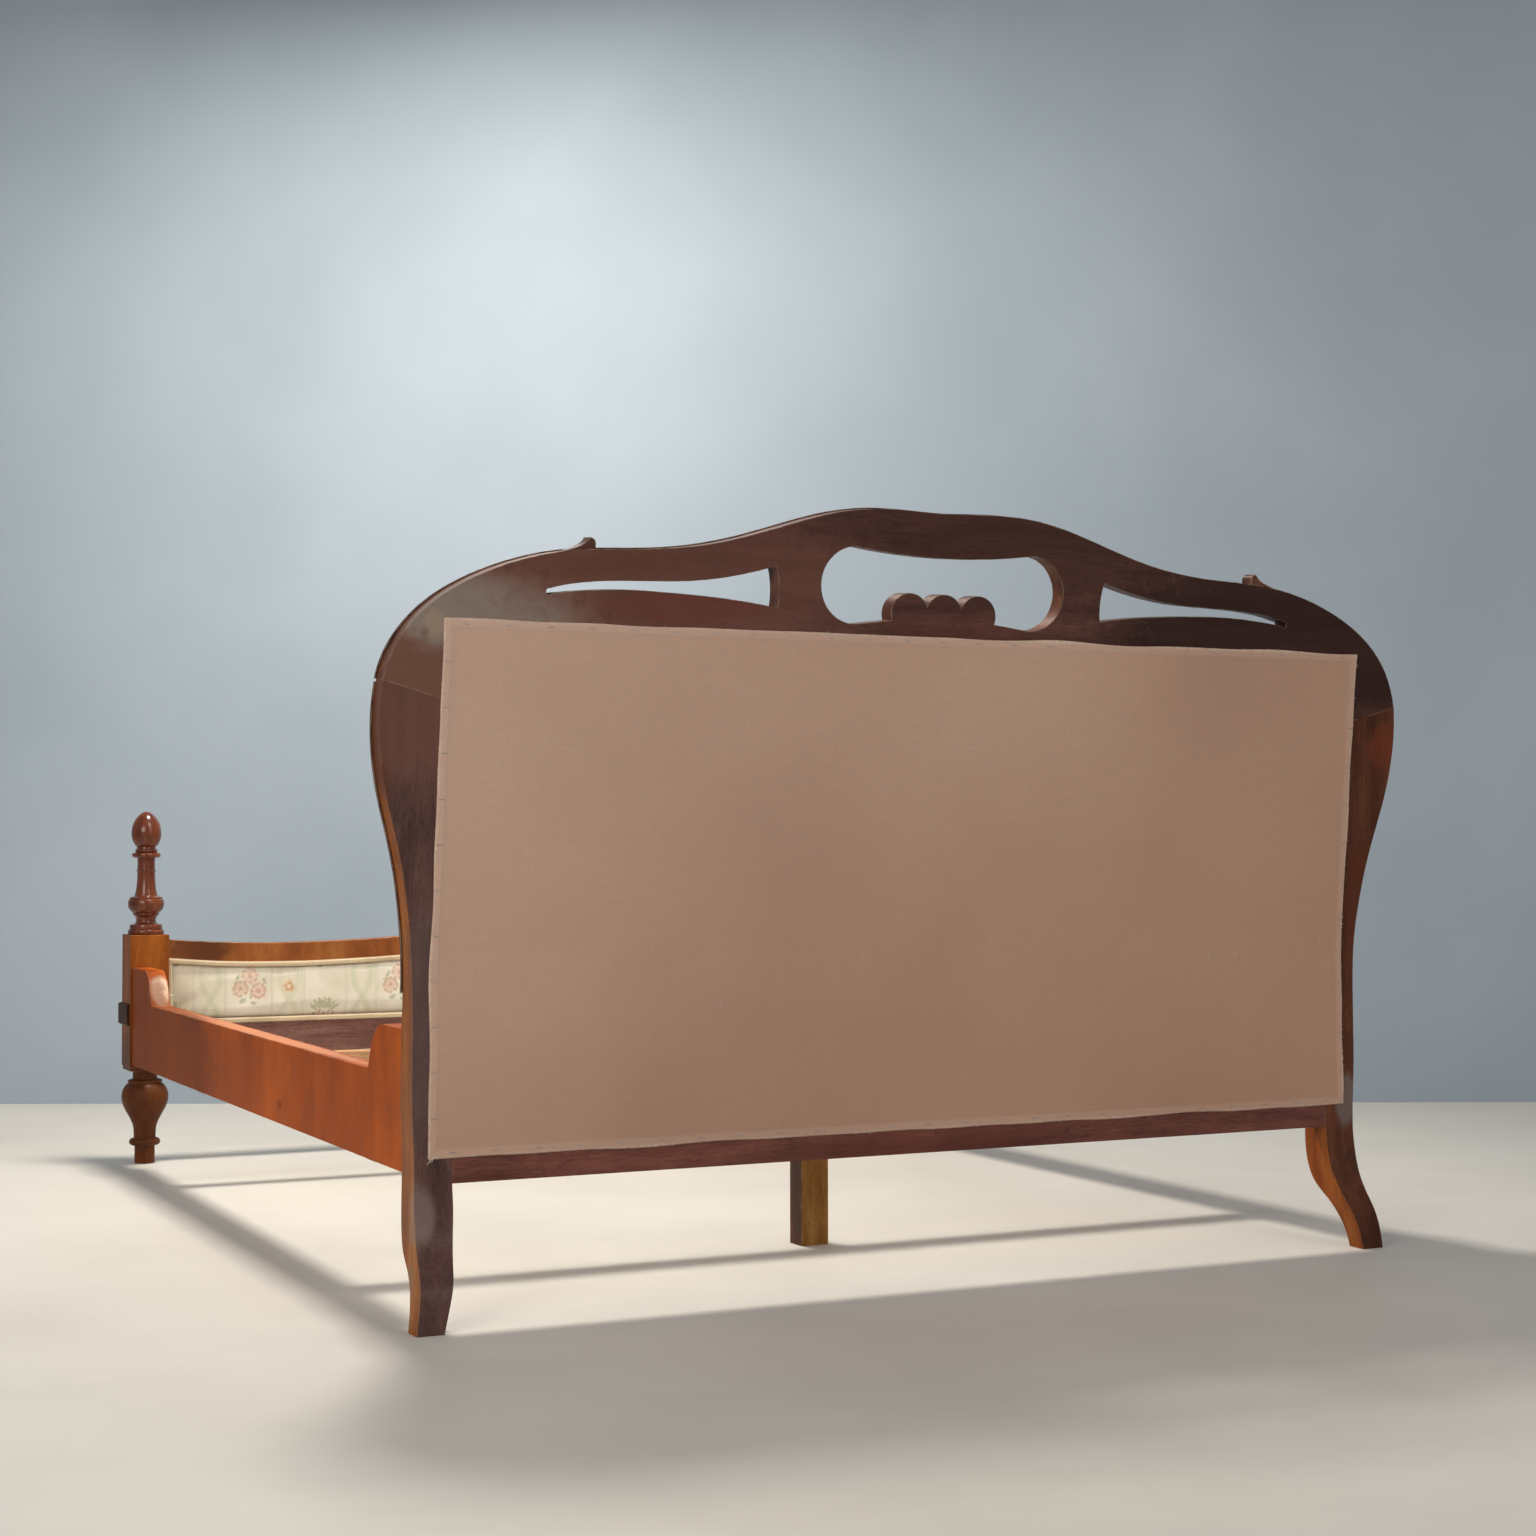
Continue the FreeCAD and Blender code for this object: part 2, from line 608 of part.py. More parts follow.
# ---- footboard -------------------------------------------------------------------------------
# Posts: a square block on a turned leg, one piece of wood, with a small plinth step between them.
LEG = draw((0, 0), (20, 0), (21.5, 2), (21.5, 39), (27, 39), ("arc", (33, 46.5), (27, 54)), (23, 54),
           (24, 75), ("curve", (33, 100), (49.5, 138), (46, 162), (34, 175)),
           ("arc", (37, 178), (34, 181)), (26, 184), (26, 197), (30, 204), (0, 204))
PLINTH_LOW, PLINTH_HIGH = 203, 9
for word, side in (("left", -1), ("right", 1)):
    post = new_body("post_blank_" + word)
    half, step = size("post_side") / 2, size("plinth_side") / 2
    square = draw((-half, -half), (half, -half), (half, half), (-half, half))
    pad(post, sketch(post, "XY_Plane", square, off(size("block_low"))),
        "Sizes.block_top - Sizes.block_low")
    plinth = draw((-step, -step), (step, -step), (step, step), (-step, step))
    pad(post, sketch(post, "XY_Plane", plinth, off(PLINTH_LOW)), str(PLINTH_HIGH))
    turn(post, LEG)
    axis = (side * size("post_across"), along(size("post_along")))
    post.Placement = Placement(Vector(*axis, 0), Rotation())
    dowel_hole = rod("post_dowel_hole_" + word, (*axis, 462), (0, 0, 1), "6", 60)
    cutters = [hook_slot("post_slot_" + word, side, RAIL_END - 6, RAIL_END + 18), dowel_hole]
    keep(cut("footboard_post_" + word, post, cutters), "footboard_post_" + word)

# Finials: an egg on a flared vase, turned separately and dowelled to the block.
VASE = draw((0, 497), (37, 497), ("arc", (38.5, 502.5), (37, 508)), (34, 508),
            ("arc", (35, 513.5), (34, 519)), (27, 520), ("curve", (21, 527), (24, 537), (27, 540)),
            ("arc", (28, 542), (27, 544)), ("curve", (34, 550), (38.5, 562), (37, 573)), (35, 574.5),
            (35.5, 578), (24.5, 582), ("curve", (21.5, 596), (19.5, 616), (19, 634)),
            ("arc", (21, 636.5), (19, 639)), (18.5, 652), (19, 663), (29, 666),
            ("arc", (30.5, 670.5), (29, 675)), (21, 676), ("arc", (24, 680), (20.5, 684)), (20, 688),
            ("curve", (28.5, 700), (32, 720), (25, 746), (9, 763)), ("curve", (5, 765), (0, 765.5)))
for word, side in (("left", -1), ("right", 1)):
    finial = new_body("finial_blank_" + word)
    turn(finial, VASE)
    place = (side * size("post_across"), along(size("post_along")))
    finial.Placement = Placement(Vector(*place, 0), Rotation())
    hole = rod("finial_dowel_hole_" + word, (*place, 480), (0, 0, 1), "6", 52)
    keep(cut("finial_" + word, finial, [hole]), "finial_" + word)
    dowel = rod("finial_dowel_" + word, (*place, 463), (0, 0, 1), "5.9", 68)
    keep(dowel, "finial_dowel_" + word)

# Bands: a low moulding planted on the outer and foot faces of each block.
BAND_LOW, BAND_TOP, BAND_PROUD = 301, 348, 7
for word, side in (("left", -1), ("right", 1)):
    half = size("post_side") / 2
    band = new_body("post_band_" + word)
    corner = [(-half * side, half), (-half * side, half + BAND_PROUD),
              (side * (half + BAND_PROUD), half + BAND_PROUD), (side * (half + BAND_PROUD), -half),
              (side * half, -half), (side * half, half)]
    lines = draw(corner[0], *corner[1:])
    strip = pad(band, sketch(band, "XY_Plane", lines, off(BAND_LOW)), str(BAND_TOP - BAND_LOW))
    doc.recompute()
    proud = half + BAND_PROUD
    long_edges = ["Edge%d" % (number + 1) for number, edge in enumerate(strip.Shape.Edges)
                  if abs(edge.tangentAt(edge.FirstParameter).z) < 1e-6
                  and (abs(edge.CenterOfMass.y - proud) < 1e-6
                       or abs(side * edge.CenterOfMass.x - proud) < 1e-6)]
    rounded = band.newObject("PartDesign::Chamfer", "post_band_%s_edges" % word)
    rounded.Base = (strip, long_edges)
    rounded.Size = 3
    band.Tip = rounded
    band.Placement = Placement(Vector(side * size("post_across"), along(size("post_along")), 0),
                               Rotation())
    keep(band, "post_band_" + word)

# Top rail: serpentine above and below, between the posts.
POST_FACE = size("post_across") - size("post_side") / 2
RAIL_BACK = size("post_along") + size("foot_rail_thick") / 2
RAIL_FRONT = size("post_along") - size("foot_rail_thick") / 2
CURVE_TOP = [(POST_FACE, 486), (640, 477), (496, 474), (386, 476), (233, 483), (110, 493), (0, 497)]
RAIL_DEPTH = 48


def lowered(points, drop):
    return [(across, height - drop) for across, height in points]


def foot_piece(name, lines, thickness, front):
    """An upright piece of the footboard, its face towards the head at a distance along."""
    body = new_body(name)
    pad(body, sketch(body, "XZ_Plane", lines, off(-along(front))), thickness, reverse=True)
    return body


def serpentine(drop_top, drop_low):
    top = whole(lowered(CURVE_TOP, drop_top))
    low = whole(lowered(CURVE_TOP, drop_low))[::-1]
    return draw(top[0], ("curve", *top[1:]), low[0], ("curve", *low[1:]))


keep(foot_piece("top_rail", serpentine(0, RAIL_DEPTH), "Sizes.foot_rail_thick", RAIL_FRONT),
     "footboard_top_rail")

# Low rail: straight above, slightly arched below.
FOOT_RAIL_TOP = 306
low_edge = ("curve", (420, 226), (0, 240), (-420, 226), (-POST_FACE, 218))
keep(foot_piece("low_foot_rail", draw((POST_FACE, 218), low_edge, (-POST_FACE, FOOT_RAIL_TOP),
                                      (POST_FACE, FOOT_RAIL_TOP)), "Sizes.foot_rail_thick", RAIL_FRONT),
     "footboard_low_rail")


# Panel between them: plywood core, a stuffed pad on each side, and braid round both pads.
def infill(drop, low, inset):
    """The opening between the two rails and the posts, with its edges moved inwards."""
    edge = POST_FACE - inset
    top = whole([(edge, CURVE_TOP[0][1] - drop)] + lowered(CURVE_TOP[1:], drop))
    return draw((-edge, low), (edge, low), top[0], ("curve", *top[1:]))


PLY_FRONT = size("post_along") - size("ply_thick") / 2
core = infill(RAIL_DEPTH + 0.3, FOOT_RAIL_TOP + 0.3, 0.3)
keep(foot_piece("foot_ply", core, "Sizes.ply_thick", PLY_FRONT), "footboard_panel_board")
INNER_PAD = PLY_FRONT - 0.3 - size("foot_pad_thick")
OUTER_PAD = PLY_FRONT + size("ply_thick") + 0.3
for word, front in (("inner", INNER_PAD), ("outer", OUTER_PAD)):
    keep(foot_piece("foot_pad_" + word, infill(RAIL_DEPTH + 1, FOOT_RAIL_TOP + 1, 1),
                    "Sizes.foot_pad_thick", front), "footboard_pad_" + word)
GIMP_LAP = 7
for word, front in (("inner", RAIL_FRONT - size("gimp_thick") - 0.2), ("outer", RAIL_BACK + 0.2)):
    drop, low, wide = RAIL_DEPTH - GIMP_LAP, FOOT_RAIL_TOP - GIMP_LAP, size("gimp_wide")
    rim = infill(drop, low, size("clearance"))
    hollow = infill(drop + wide, low + wide, wide)
    keep(foot_piece("foot_gimp_" + word, rim + hollow, "Sizes.gimp_thick", front),
         "footboard_gimp_" + word)

# ---- rail hardware ---------------------------------------------------------------------------
# An iron plate on the inside of each rail end, whose two hooks drop into the stile or the post.
PLATE_LONG, HOOK_REACH, HOOK_DEEP, PLATE_THICK, PLATE_BACK = 62, 14, 22, 3, 3
plate_screws = []


def hook_plate(name, side, end, way):
    """way is +1 where the hooks reach towards the foot, -1 where they reach towards the head."""
    body = new_body(name)
    heel, face, tip = [along(end + way * distance) for distance in (-PLATE_LONG, -PLATE_BACK, HOOK_REACH)]
    low_hook, high_hook = HOOK_LOW + 20, HOOK_TOP - 34
    outline = draw((heel, HOOK_LOW), (face, HOOK_LOW),
                   (face, low_hook), (tip, low_hook), (tip, low_hook + HOOK_DEEP),
                   (face, low_hook + HOOK_DEEP + 10),
                   (face, high_hook), (tip, high_hook), (tip, high_hook + HOOK_DEEP),
                   (face, high_hook + HOOK_DEEP + 10), (face, HOOK_TOP), (heel, HOOK_TOP))
    inner = side * (HOOK_X - PLATE_THICK - 0.05)
    pad(body, sketch(body, "YZ_Plane", outline, off(inner)),
        str(PLATE_THICK), reverse=side < 0)
    for height in (HOOK_LOW + 14, (HOOK_LOW + HOOK_TOP) / 2, HOOK_TOP - 14):
        middle = along(end - way * (PLATE_LONG / 2 + 8))
        plate_screws.append(((inner, middle, height), (side, 0, 0)))
    return keep(body, name)


for word, side in (("left", -1), ("right", 1)):
    hook_plate("head_hook_plate_" + word, side, seat(290), -1)
    hook_plate("foot_hook_plate_" + word, side, RAIL_END, 1)
screws("hook_plate_screws", plate_screws, 24)

# ---- cross bearers ---------------------------------------------------------------------------
# Each bearer drops between two iron stirrups on the ledgers and stands on a leg at its middle.
BEARER_LOW = size("bearer_top") - size("bearer_deep")
HALF_THICK = size("bearer_thick") / 2
STIRRUP_REACH, BEARER_END = 34, LEDGER_X - 1.5
FLANGE_WIDE, FLANGE_HEIGHTS = 22, (236, 258)
FLANGE_FACE, FLANGE_BACK = LEDGER_X - 2.1, LEDGER_X - 0.1
stirrup_screws = []


def stirrup(name, side, distance):
    """A U of strap iron, open at the top, on the face of a ledger."""
    thick, gap = size("stirrup_thick"), size("clearance")
    inner, outer = HALF_THICK + gap, HALF_THICK + gap + thick
    low = BEARER_LOW - gap - thick
    body = new_body(name + "_strap")
    lip, middle = size("bearer_top") - 4, along(distance)
    lines = draw(*[(middle + near, height) for near, height in (
        (-outer, low), (outer, low), (outer, lip), (inner, lip), (inner, low + thick),
        (-inner, low + thick), (-inner, lip), (-outer, lip))])
    reach = min(side * (LEDGER_X - STIRRUP_REACH), side * FLANGE_BACK)
    pad(body, sketch(body, "YZ_Plane", lines, off(reach)), str(FLANGE_BACK - LEDGER_X + STIRRUP_REACH))
    flanges = [block(name + "_flange_near", side, FLANGE_FACE, FLANGE_BACK,
                     middle - outer - FLANGE_WIDE, middle - outer + 1, *FLANGE_HEIGHTS),
               block(name + "_flange_far", side, FLANGE_FACE, FLANGE_BACK,
                     middle + outer - 1, middle + outer + FLANGE_WIDE, *FLANGE_HEIGHTS)]
    doc.recompute()
    folded = doc.addObject("Part::MultiFuse", name + "_folded")
    folded.Shapes = [body] + flanges
    for near in (-outer - FLANGE_WIDE / 2, outer + FLANGE_WIDE / 2):
        stirrup_screws.append(((side * FLANGE_FACE, middle + near, sum(FLANGE_HEIGHTS) / 2), (side, 0, 0)))
    return keep(folded, name)


for end in ("head", "foot"):
    distance = size(end + "_bearer_along")
    for word, side in (("left", -1), ("right", 1)):
        stirrup("%s_stirrup_%s" % (end, word), side, distance)
    bolt_hole = rod(end + "_bearer_hole", (0, along(distance), BEARER_LOW - 30), (0, 0, 1),
                    "Sizes.bolt_radius", 75)
    beam = box(end + "_beam", (-BEARER_END, along(distance) - HALF_THICK, BEARER_LOW),
               (BEARER_END, along(distance) + HALF_THICK, size("bearer_top")))
    beam.setExpression("Height", "Sizes.bearer_deep")
    beam.setExpression("Width", "Sizes.bearer_thick")
    keep(cut("cross_bearer_" + end, beam, [bolt_hole]), "cross_bearer_" + end)
    half_across, half_deep = size("leg_across") / 2, size("leg_deep") / 2
    leg = box(end + "_leg_blank", (-half_across, along(distance) - half_deep, 0),
              (half_across, along(distance) + half_deep, BEARER_LOW))
    leg_hole = rod(end + "_leg_hole", (0, along(distance), BEARER_LOW - 41), (0, 0, 1),
                   "Sizes.bolt_radius", 50)
    keep(cut("centre_leg_" + end, leg, [leg_hole]), "centre_leg_" + end)
    bolt = rod("centre_leg_bolt_" + end, (0, along(distance), BEARER_LOW - 40), (0, 0, 1),
               "Sizes.bolt_radius - 0.1", 80)
    keep(bolt, "centre_leg_bolt_" + end)
screws("stirrup_screws", stirrup_screws, 18)

# ---- check and write -------------------------------------------------------------------------
doc.recompute()
for item in doc.Objects:
    if "Invalid" in item.State or "Error" in item.State:
        raise ValueError("%s failed: %s" % (item.Label, item.State))
os.makedirs("parts", exist_ok=True)
outer = FreeCAD.BoundBox()
for thing in SUBPARTS:
    shape = thing.Shape
    if shape.isNull() or not shape.isValid() or not shape.Solids:
        raise ValueError(thing.Label + " has no valid solid")
    outer.add(shape.optimalBoundingBox())
    shape.exportStep("parts/%s.step" % thing.Label)
print(len(SUBPARTS), "sub-parts in", outer)
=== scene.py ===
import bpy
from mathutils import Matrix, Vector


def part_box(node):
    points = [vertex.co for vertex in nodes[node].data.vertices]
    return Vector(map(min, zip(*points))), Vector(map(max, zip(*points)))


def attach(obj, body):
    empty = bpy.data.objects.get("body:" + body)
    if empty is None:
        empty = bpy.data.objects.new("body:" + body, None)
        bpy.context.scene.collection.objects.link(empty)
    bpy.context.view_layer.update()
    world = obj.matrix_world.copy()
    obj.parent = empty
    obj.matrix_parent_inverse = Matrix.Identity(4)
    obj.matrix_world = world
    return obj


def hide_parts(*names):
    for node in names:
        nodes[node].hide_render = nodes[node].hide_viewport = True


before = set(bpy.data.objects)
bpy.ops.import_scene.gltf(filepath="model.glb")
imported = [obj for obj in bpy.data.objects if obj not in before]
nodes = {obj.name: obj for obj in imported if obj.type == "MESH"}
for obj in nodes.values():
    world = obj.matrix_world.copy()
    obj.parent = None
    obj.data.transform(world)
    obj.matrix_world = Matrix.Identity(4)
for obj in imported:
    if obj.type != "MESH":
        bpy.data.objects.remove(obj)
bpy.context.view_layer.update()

import math
import random

import bpy
from mathutils import Vector, noise

# ---- Standing place ---------------------------------------------------------------------------
# The bed is seen from behind its headboard, low and a little from the left.  It stands on a pale
# poured floor in front of a plain painted wall, under an overhead soft box.  Two broad fills light
# its back, and a small lamp lights the pad at its foot.

VIEW_FROM = Vector((-1.9503, -4.4237, 0.7039))
VIEW_TURN, VIEW_TILT, VIEW_ROLL = 25.967, 1.652, 0.07
WALL_AWAY = 6.59
FLOOR_REACH = 14.0

lens = bpy.data.cameras.new("camera")
lens.lens, lens.sensor_width = 57.71, 36
camera = bpy.data.objects.new("camera", lens)
camera.location = VIEW_FROM
camera.rotation_euler = [math.radians(angle) for angle in (90 + VIEW_TILT, VIEW_ROLL, -VIEW_TURN)]
bpy.context.collection.objects.link(camera)
bpy.context.scene.camera = camera
bpy.context.scene.view_settings.view_transform = "Standard"


def linear(colour):
    """An sRGB colour, written as six hex digits, as linear RGBA."""
    parts = [int(colour[at:at + 2], 16) / 255 for at in (0, 2, 4)]
    return [p / 12.92 if p <= 0.04045 else ((p + 0.055) / 1.055) ** 2.4 for p in parts] + [1.0]


def add(tree, kind, sockets=None, out=0, stops=(), **settings):
    """Adds a node, sets it, fills or links its sockets, and gives back one of its outputs."""
    made = tree.nodes.new("ShaderNode" + kind)
    for name, value in settings.items():
        setattr(made, name, value)
    for name, value in (sockets or {}).items():
        if isinstance(value, bpy.types.NodeSocket):
            tree.links.new(value, made.inputs[name])
        else:
            made.inputs[name].default_value = linear(value) if isinstance(value, str) else value
    for count, (position, colour) in enumerate(stops):
        ramp = made.color_ramp.elements
        if count == 0:
            ramp.remove(ramp[1])
            ramp[0].position = position
        stop = ramp[0] if count == 0 else ramp.new(position)
        stop.color = linear(colour)
    return made.outputs[out] if made.outputs else None


def blank(name):
    """A new material and its empty tree."""
    made = bpy.data.materials.new(name)
    made.use_nodes = True
    made.node_tree.nodes.clear()
    return made, made.node_tree


def mesh_piece(name, points, faces, smooth=True):
    """A new object from points and faces, in the frame's own place."""
    data = bpy.data.meshes.new(name)
    data.from_pydata([tuple(point) for point in points], [], faces)
    data.update()
    for face in data.polygons:
        face.use_smooth = smooth
    made = bpy.data.objects.new(name, data)
    bpy.context.collection.objects.link(made)
    return made


# Poured floor: a matt, hand-trowelled cement screed with faint clouds, so it isn't one flat tone.
screed, tree = blank("trowelled_screed")
place = add(tree, "TexCoord", out="Object")
clouds = add(tree, "TexNoise", {"Vector": place, "Scale": 0.9, "Detail": 6.0, "Roughness": 0.6})
tone = add(tree, "ValToRGB", {0: clouds}, stops=[(0.3, "C6C3BC"), (0.52, "D1CEC7"), (0.75, "DAD7D1")])
grit = add(tree, "TexNoise", {"Vector": place, "Scale": 60.0, "Detail": 3.0})
bump = add(tree, "Bump", {"Strength": 0.08, "Distance": 0.002, "Height": grit})
add(tree, "OutputMaterial", {"Surface": add(tree, "BsdfPrincipled", {
    "Base Color": tone, "Roughness": 0.62, "Normal": bump})})
floor = mesh_piece("floor", [(x * FLOOR_REACH, y * FLOOR_REACH, 0) for x, y in
                             ((-1, -1), (1, -1), (1, 1), (-1, 1))], [(0, 1, 2, 3)], False)
floor.data.materials.append(screed)

# Painted wall: one sheet, painted on its room side only, so it hides nothing from behind.
WALL_HALF, WALL_HIGH = 7.0, 4.2
ahead = Vector((math.sin(math.radians(VIEW_TURN)), math.cos(math.radians(VIEW_TURN)), 0))
aside = Vector((ahead.y, -ahead.x, 0))
foot = Vector((VIEW_FROM.x, VIEW_FROM.y, 0)) + ahead * WALL_AWAY
wall = mesh_piece("wall", [foot - aside * WALL_HALF, foot + aside * WALL_HALF,
                           foot + aside * WALL_HALF + Vector((0, 0, WALL_HIGH)),
                           foot - aside * WALL_HALF + Vector((0, 0, WALL_HIGH))], [(0, 1, 2, 3)], False)
paint, tree = blank("wall_paint")
place = add(tree, "TexCoord", out="Object")
clouds = add(tree, "TexNoise", {"Vector": place, "Scale": 1.2, "Detail": 3.0})
tone = add(tree, "ValToRGB", {0: clouds}, stops=[(0.35, "93A1AE"), (0.65, "9DABB7")])
painted = add(tree, "BsdfPrincipled", {"Base Color": tone, "Roughness": 0.85})
far_side = add(tree, "NewGeometry", out="Backfacing")
clear = add(tree, "BsdfTransparent")
add(tree, "OutputMaterial", {"Surface": add(tree, "MixShader", {0: far_side, 1: painted, 2: clear})})
wall.data.materials.append(paint)

# Soft light: (name, place, what it looks at, width, height, watts, colour)
LAMPS = [
    ("overhead", (-0.30, 0.55, 3.10), (-0.25, 0.30, 0.0), 0.55, 0.55, 95, "FFF6EA"),
    ("side_fill", (-4.20, -3.60, 2.30), (-0.20, -0.60, 0.55), 2.4, 2.0, 95, "FFF3E6"),
    ("pad_light", (-0.45, -0.25, 1.70), (-0.50, 1.05, 0.30), 0.5, 0.5, 6, "FFF6EA"),
    ("back_fill", (1.60, -5.20, 2.60), (0.10, -0.90, 0.55), 2.2, 2.0, 45, "FFF4EA"),
]
for name, at, target, wide, high, watts, colour in LAMPS:
    lamp = bpy.data.lights.new(name, "AREA")
    lamp.shape, lamp.size, lamp.size_y = "RECTANGLE", wide, high
    lamp.energy, lamp.color = watts, linear(colour)[:3]
    hung = bpy.data.objects.new(name, lamp)
    hung.location = at
    hung.rotation_euler = (Vector(target) - Vector(at)).to_track_quat("-Z", "Y").to_euler()
    bpy.context.collection.objects.link(hung)
world = bpy.data.worlds.new("soft_air")
world.use_nodes = True
bpy.context.scene.world = world
world.node_tree.nodes["Background"].inputs["Color"].default_value = linear("DDE3E8")
world.node_tree.nodes["Background"].inputs["Strength"].default_value = 0.42

# ---- Headboard wood ---------------------------------------------------------------------------
# Crest, stiles with sabre feet, and low rail are walnut-stained planks.  The show faces and edges
# are French polished; the back is only stained, and has gone dull, grey and stained with handling.
# The board's back drops straight at the legs, bends at seat height and leans back above it.

LEAN_RUN = math.tan(math.radians(6.1))
LEG_BACK, BEND_HIGH, BEND_REACH = -0.9986, 0.5275, 0.035


def board_back(height):
    """Where the board's back is along the bed, at a height above the floor."""
    rise = max(0.0, height - BEND_HIGH + BEND_REACH)
    if rise < 2 * BEND_REACH:
        return LEG_BACK - rise ** 2 * LEAN_RUN / (4 * BEND_REACH)
    return LEG_BACK - (height - BEND_HIGH) * LEAN_RUN


def on_board(across, height, deep=0.0):
    """A point on the bent board, from its height above the floor and its depth from the back."""
    return Vector((across, board_back(height) + deep, height))


def wood(name, grain, tones, roughness, coat, figure=20.0, back=(), edge_rub_and_highlight_tone="9A7350", edge_rub_and_highlight_share=0.5, marks=(),
         contrast=1.0):
    """Planed and varnished wood: drifting figure, fine streaks and short dark pores along the grain.
    figure is how fine its bands are, back the tones of a face turned to the head end, and
    edge_rub_and_highlight_tone the tone of a rubbed edge, which is also a painted highlight.  A mark
    is a stain, or on the side rails a painted highlight: its place, reach, colour and strength.
    contrast is that of the streaks and pores."""
    made, tree = blank(name)
    coords = add(tree, "TexCoord", out="Object")
    drift = add(tree, "TexNoise", {"Vector": coords, "Scale": 2.6, "Detail": 2.0}, out="Color")
    bent = add(tree, "VectorMath", {0: drift, 1: (0.07, 0.07, 0.07), 2: coords}, operation="MULTIPLY_ADD")
    run = add(tree, "VectorMath", {0: bent, 1: grain}, operation="MULTIPLY")
    bands = add(tree, "TexNoise", {"Vector": run, "Scale": figure, "Detail": 5.0, "Roughness": 0.62})
    tone = add(tree, "ValToRGB", {0: bands}, stops=list(zip((0.34, 0.5, 0.66), tones)))
    facing = add(tree, "SeparateXYZ", {0: add(tree, "TexCoord", out="Normal")}, out="Y")
    behind = add(tree, "MapRange", {0: facing, 1: -0.3, 2: -0.55, 3: 0.0, 4: 1.0})
    if back:
        dull = add(tree, "ValToRGB", {0: bands}, stops=list(zip((0.3, 0.5, 0.7), back)))
        tone = add(tree, "Mix", {0: behind, 6: tone, 7: dull}, out=2, data_type="RGBA")
    # Stain soaked in unevenly, over a hand's breadth.
    uneven = add(tree, "TexNoise", {"Vector": coords, "Scale": 7.0, "Detail": 4.0, "Roughness": 0.65})
    shade = add(tree, "MapRange", {0: uneven, 1: 0.3, 2: 0.7, 3: 0.78, 4: 1.2})
    streak = add(tree, "TexNoise", {"Vector": run, "Scale": 230.0, "Detail": 3.0, "Roughness": 0.7})
    fine = add(tree, "MapRange", {0: streak, 1: 0.3, 2: 0.7, 3: 1 - 0.18 * contrast,
                                  4: 1 + 0.14 * contrast})
    pore = add(tree, "TexNoise", {"Vector": run, "Scale": 700.0, "Detail": 1.0})
    pit = add(tree, "MapRange", {0: pore, 1: 0.36, 2: 0.44, 3: 1 - 0.28 * contrast, 4: 1.0})
    light = add(tree, "Math", {0: add(tree, "Math", {0: shade, 1: fine}, operation="MULTIPLY"), 1: pit},
                operation="MULTIPLY")
    tone = add(tree, "VectorMath", {0: tone, 3: light}, operation="SCALE")
    ragged = add(tree, "TexNoise", {"Vector": coords, "Scale": 38.0, "Detail": 5.0, "Roughness": 0.7})
    for at, reach, colour, strength in marks:
        spot = add(tree, "Mapping", {0: coords, "Location": at, "Scale": reach}, vector_type="TEXTURE")
        inside = add(tree, "TexGradient", {0: spot}, gradient_type="SPHERICAL", out="Fac")
        broken = add(tree, "Math", {0: ragged, 1: 1.3, 2: inside}, operation="MULTIPLY_ADD")
        share = add(tree, "MapRange", {0: broken, 1: 0.66, 2: 1.05, 3: 0.0, 4: strength})
        soft = add(tree, "MapRange", {0: inside, 1: 0.0, 2: 0.4, 3: 0.0, 4: 1.0})
        share = add(tree, "Math", {0: share, 1: soft}, operation="MULTIPLY")
        tone = add(tree, "Mix", {0: share, 6: tone, 7: colour}, out=2, data_type="RGBA")
    # Corners are rubbed down to paler wood, in broken runs, and a highlight line is painted along them in
    # the same pale tone; their eased normals catch the light too.
    eased = add(tree, "Bevel", {"Radius": 0.0022}, samples=4)
    flat = add(tree, "NewGeometry", out="Normal")
    turned = add(tree, "VectorMath", {0: eased, 1: flat}, out="Value", operation="DOT_PRODUCT")
    corner = add(tree, "MapRange", {0: turned, 1: 0.995, 2: 0.86, 3: 0.0, 4: edge_rub_and_highlight_share})
    rubbed = add(tree, "MapRange", {0: ragged, 1: 0.42, 2: 0.58, 3: 0.15, 4: 1.0})
    corner = add(tree, "Math", {0: corner, 1: rubbed}, operation="MULTIPLY")
    tone = add(tree, "Mix", {0: corner, 6: tone, 7: edge_rub_and_highlight_tone}, out=2, data_type="RGBA")
    dulling = roughness + 0.22 if back else roughness
    gloss = add(tree, "MapRange", {0: behind, 1: 0.0, 2: 1.0, 3: roughness, 4: dulling})
    gloss = add(tree, "Math", {0: uneven, 1: 0.16, 2: gloss}, operation="MULTIPLY_ADD")
    relief = add(tree, "Math", {0: pit, 1: streak}, operation="ADD")
    bump = add(tree, "Bump", {"Strength": 0.35, "Distance": 0.0004, "Height": relief, "Normal": eased})
    add(tree, "OutputMaterial", {"Surface": add(tree, "BsdfPrincipled", {
        "Base Color": tone, "Roughness": gloss, "Specular IOR Level": 0.1, "Coat Weight": coat,
        "Coat Roughness": 0.18, "Normal": bump})})
    return made


def finish(material, *names):
    """Gives CAD nodes a material in place of their plain one."""
    for name in names:
        nodes[name].data.materials.clear()
        nodes[name].data.materials.append(material)


def stain(across, height, wide, tall, colour, strength):
    """A mark on the board's back face that doesn't reach through to the front."""
    return on_board(across, height), (wide, 0.026, tall), colour, strength


